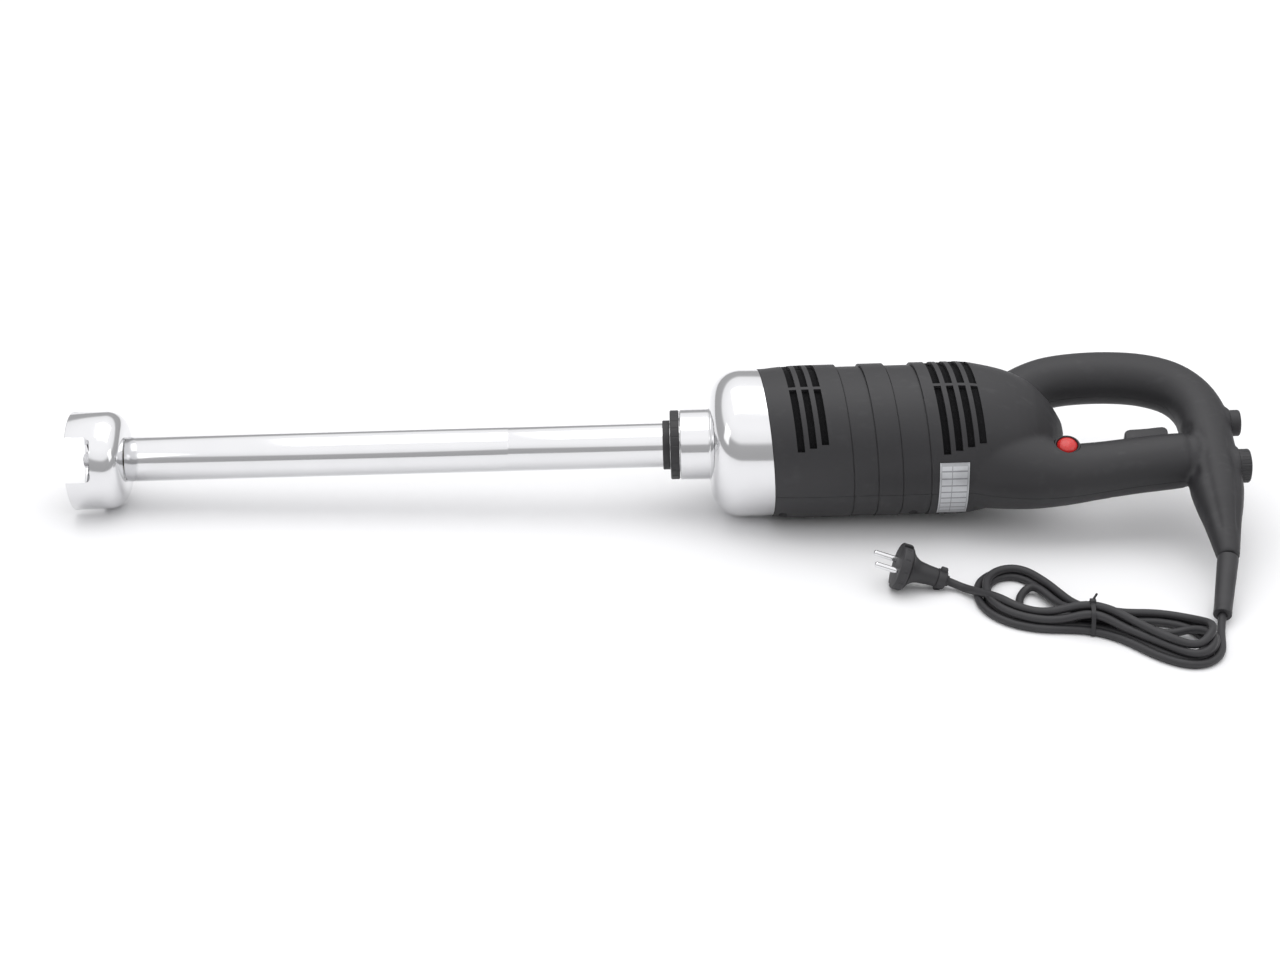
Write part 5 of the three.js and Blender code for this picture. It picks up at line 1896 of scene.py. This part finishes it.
@dataclass
class Controls:
    """Trigger, red unlocking button with its bezel, latch button, speed knob and rating plate."""

    trigger_span: Point = (876.6, 912.6)
    trigger_top: float = 2.4
    trigger_half: float = 9.0
    button: Point = (825.0, 34.0)
    button_radius: float = 8.4
    button_top: float = 27.2
    bezel_radius: float = 10.7
    bezel_top: float = 24.0
    latch_z: float = -7.5
    latch_radius: float = 11.0
    latch_span: Point = (956.8, 975.0)
    knob_z: float = 41.0
    knob_radius: float = 14.0
    knob_span: Point = (962.6, 977.0)
    plate_span: Point = (719.0, 743.0)
    plate_reach: float = 28.0
    plate_radius: float = 63.8
    plate_thick: float = 0.45

    def build(self, shop: Workshop, bench: Bench) -> None:
        """Make every control.

        Args:
            shop: The workshop of the tool.
            bench: Where pieces get their finish.
        """
        bench.fit(self._trigger(shop), Body.TRIGGER, Slot.BLACK, "trigger")
        side_shop = shop.beside(self.button, Matrix.Rotation(math.pi / 2, 4, "Z"))
        bench.fit(self._button(side_shop), Body.SAFETY, Slot.RED, "safety_button")
        bench.fit(self._bezel(side_shop), Body.MOTOR, Slot.BLACK, "button_bezel")
        bench.fit(self._latch(shop), Body.LATCH, Slot.BLACK, "latch_button")
        bench.fit(self._knob(shop), Body.KNOB, Slot.BLACK, "speed_knob")
        foil = PlateFoil(self.plate_span[0], self.plate_span[1] - self.plate_span[0]).paint()
        bench.fit(self._plate(shop), Body.MOTOR, Slot.LABEL, "rating_plate", material=foil)

    def _trigger(self, shop: Workshop) -> bpy.types.Object:
        """A finger trigger with a hollowed back and rounded edges.

        Args:
            shop: The workshop of the tool.

        Returns:
            The object.
        """
        front, back = self.trigger_span
        top, half = self.trigger_top, self.trigger_half
        side = [(front, 24.0), (front, top + 6.5), (front + 0.8, top + 4.6), (front + 2.4, top + 3.0),
                (front + 5.0, top + 2.2), (front + 11.0, top + 1.9), (front + 19.0, top + 1.4),
                (back - 8.0, top + 0.3), (back - 4.0, top), (back - 1.6, top + 0.8), (back - 0.3, top + 2.6),
                (back, top + 5.0), (back, 24.0)]
        rings = [[(x, y, z) for x, z in side] for y in (-half, half)]
        return shop.shade(shop.soften(shop.loft("finger_trigger", rings), 1.5, 4, 50.0), 40.0)

    def _button(self, shop: Workshop) -> bpy.types.Object:
        """The red button: a domed cap, in a frame whose X axis is its own.

        Args:
            shop: The button's workshop.

        Returns:
            The object.
        """
        radius, top = self.button_radius, self.button_top
        outline = [(14.0, 0.0), (14.0, radius), (top - 4.4, radius), (top - 3.9, radius * 0.985),
                   (top - 3.0, radius * 0.92), (top - 2.0, radius * 0.8), (top - 1.1, radius * 0.62),
                   (top - 0.4, radius * 0.38), (top - 0.1, radius * 0.18), (top, 0.0)]
        return shop.shade(shop.lathe("red_cap", outline, 64), 50.0)

    def _bezel(self, shop: Workshop) -> bpy.types.Object:
        """The dark ring round the red button.

        Args:
            shop: The button's workshop.

        Returns:
            The object.
        """
        bore, outer, top = self.button_radius + 0.4, self.bezel_radius, self.bezel_top
        outline = [(8.0, bore), (8.0, outer), (top - 1.2, outer),
                   *arc((top - 1.1, outer - 1.0), 1.0, 80, 10, 4), (top, bore + 0.5), (top - 0.5, bore)]
        return shop.shade(shop.lathe("button_ring", outline, 64), 50.0)

    def _latch(self, shop: Workshop) -> bpy.types.Object:
        """The latch button: a shallow cap with a rounded rim and a hollow face.

        Args:
            shop: The workshop of the tool.

        Returns:
            The object.
        """
        front, back = self.latch_span
        radius = self.latch_radius
        outline = [(front, radius - 2.5), (front, radius), (back - 2.0, radius),
                   *arc((back - 1.6, radius - 1.6), 1.6, 90, 0, 6), (back - 0.5, radius - 3.4),
                   (back - 0.8, radius * 0.4), (back - 0.9, 0.0), (back - 5, 0.0), (back - 5, radius - 2.5)]
        return shop.shade(shop.lathe("latch_cap", outline, 72, (0.0, self.latch_z)), 50.0)

    def _knob(self, shop: Workshop) -> bpy.types.Object:
        """The speed knob: a plain rim with fine flutes, a slightly raised face and a pointer groove.

        Args:
            shop: The workshop of the tool.

        Returns:
            The object.
        """
        front, back = self.knob_span
        radius = self.knob_radius
        outline = [(front, 0.0), (front, radius), (back - 3.4, radius),
                   *arc((back - 3.2, radius - 1.8), 1.8, 90, 12, 6), (back - 0.5, radius - 5.0),
                   (back, radius - 9.0), (back, 0.0)]
        knob = shop.lathe("speed_dial", outline, 96, (0.0, self.knob_z))
        flutes = shop.flutes((front + 5.2, back - 2.6), radius + 0.55, 0.9, 10, 30, self.knob_z)
        shop.carve(knob, Solver.CUT, shop.gather("flutes", flutes))
        pointer = shop.block("pointer", (back - 1.0, -0.7, self.knob_z + 4.0),
                             (back + 1.0, 0.7, self.knob_z + 12.5))
        shop.carve(knob, Solver.CUT, pointer)
        stem = shop.rod("stem", (front - 12, 0.0, self.knob_z), (front + 1, 0.0, self.knob_z), 3.2, 24)
        return shop.shade(shop.carve(knob, Solver.JOIN, stem), 40.0)

    def _plate(self, shop: Workshop) -> bpy.types.Object:
        """The thin rating plate, bent round the housing.

        Args:
            shop: The workshop of the tool.

        Returns:
            The object.
        """
        angles = (90 - self.plate_reach, 90 + self.plate_reach)
        radii = (self.plate_radius, self.plate_radius + self.plate_thick)
        plate = shop.sector("silver_plate", self.plate_span, radii, angles, 1.5)
        return shop.shade(shop.soften(plate, 0.12, 2, 60.0), 40.0)


@dataclass
class StrainRelief:
    """The soft tapered sleeve where the lead leaves the handle."""

    root: Point = (942.5, 140.5)
    tip: Point = (929.0, 198.5)
    # Where the tip lies in the part frame in the lead's written route.
    tip_home: Point = (443.05, -131.75)
    root_radius: float = 8.5
    tip_radius: float = 7.3
    bore: float = 3.55

    def build(self, shop: Workshop, bench: Bench) -> bpy.types.Object:
        """Make the sleeve.

        Args:
            shop: The tool's workshop.
            bench: Where pieces get their finish.

        Returns:
            The sleeve.
        """
        line = Vector((self.tip[0] - self.root[0], 0.0, self.tip[1] - self.root[1]))
        sleeve_shop = shop.beside(self.root, line.to_track_quat("X", "Y").to_matrix().to_4x4())
        length = line.length
        outline = [(-16.0, self.bore), (-16.0, 4.9), (-0.3, 4.9), (-0.1, self.root_radius - 0.8),
                   *arc((0.7, self.root_radius - 0.8), 0.8, 180, 90, 4),
                   (length * 0.35, self.root_radius - 0.45), (length * 0.7, self.tip_radius + 0.2),
                   (length - 4.2, self.tip_radius - 0.1), (length - 3.9, self.tip_radius + 0.05),
                   *arc((length - 1.0, self.tip_radius - 0.9), 0.95, 90, 0, 5), (length, self.bore + 0.3),
                   (length - 0.4, self.bore)]
        sleeve = sleeve_shop.lathe("lead_sleeve", outline, 64)
        return bench.fit(sleeve_shop.shade(sleeve, 45.0), Body.MOTOR, Slot.RUBBER, "strain_relief")


# ---------------------------------------------------------------------------------------------------


def replaced_nodes() -> set[str]:
    """The CAD nodes that finer pieces stand for.

    Returns:
        Their names.
    """
    return {"bell_guard", "blade", "blade_screw", "shaft_tube", "tube_ring", "lock_collar", "motor_neck",
            "dome_cover", "housing_upper", "housing_lower", "trigger", "safety_button", "button_bezel",
            "latch_button", "speed_knob", "rating_plate", "strain_relief", "cord_lead", "cord_tail",
            "cord_hank", "hank_tie", "plug_body", "plug_pin_1", "plug_pin_2"}


def main() -> None:
    """Build the stage, the lead and then every sub-assembly of the blender."""
    logging.basicConfig(level=logging.INFO, format="%(message)s")
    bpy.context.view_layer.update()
    Studio().build()
    bench = Bench(Finishes())
    tool = ToolFrame.from_joints(frame["joints"])
    relief = StrainRelief()
    tip = tool.point(relief.tip[0], 0.0, relief.tip[1]) / MM
    shift = (tip.x - relief.tip_home[0], tip.y - relief.tip_home[1])
    plug = Plug(shift).build(bench)
    MainsLead(shift).build(bench, Workshop(Matrix.Identity(4)), plug)
    shop = Workshop(tool.matrix)
    relief.build(shop, bench)
    ShaftUnit().build(shop, bench)
    SteelNose().build(shop, bench)
    Controls().build(shop, bench)
    Housing().build(shop, bench)
    bench.dress_carried(frame["nodes"], frame["record"], replaced_nodes())


if __name__ == "__main__":
    main()
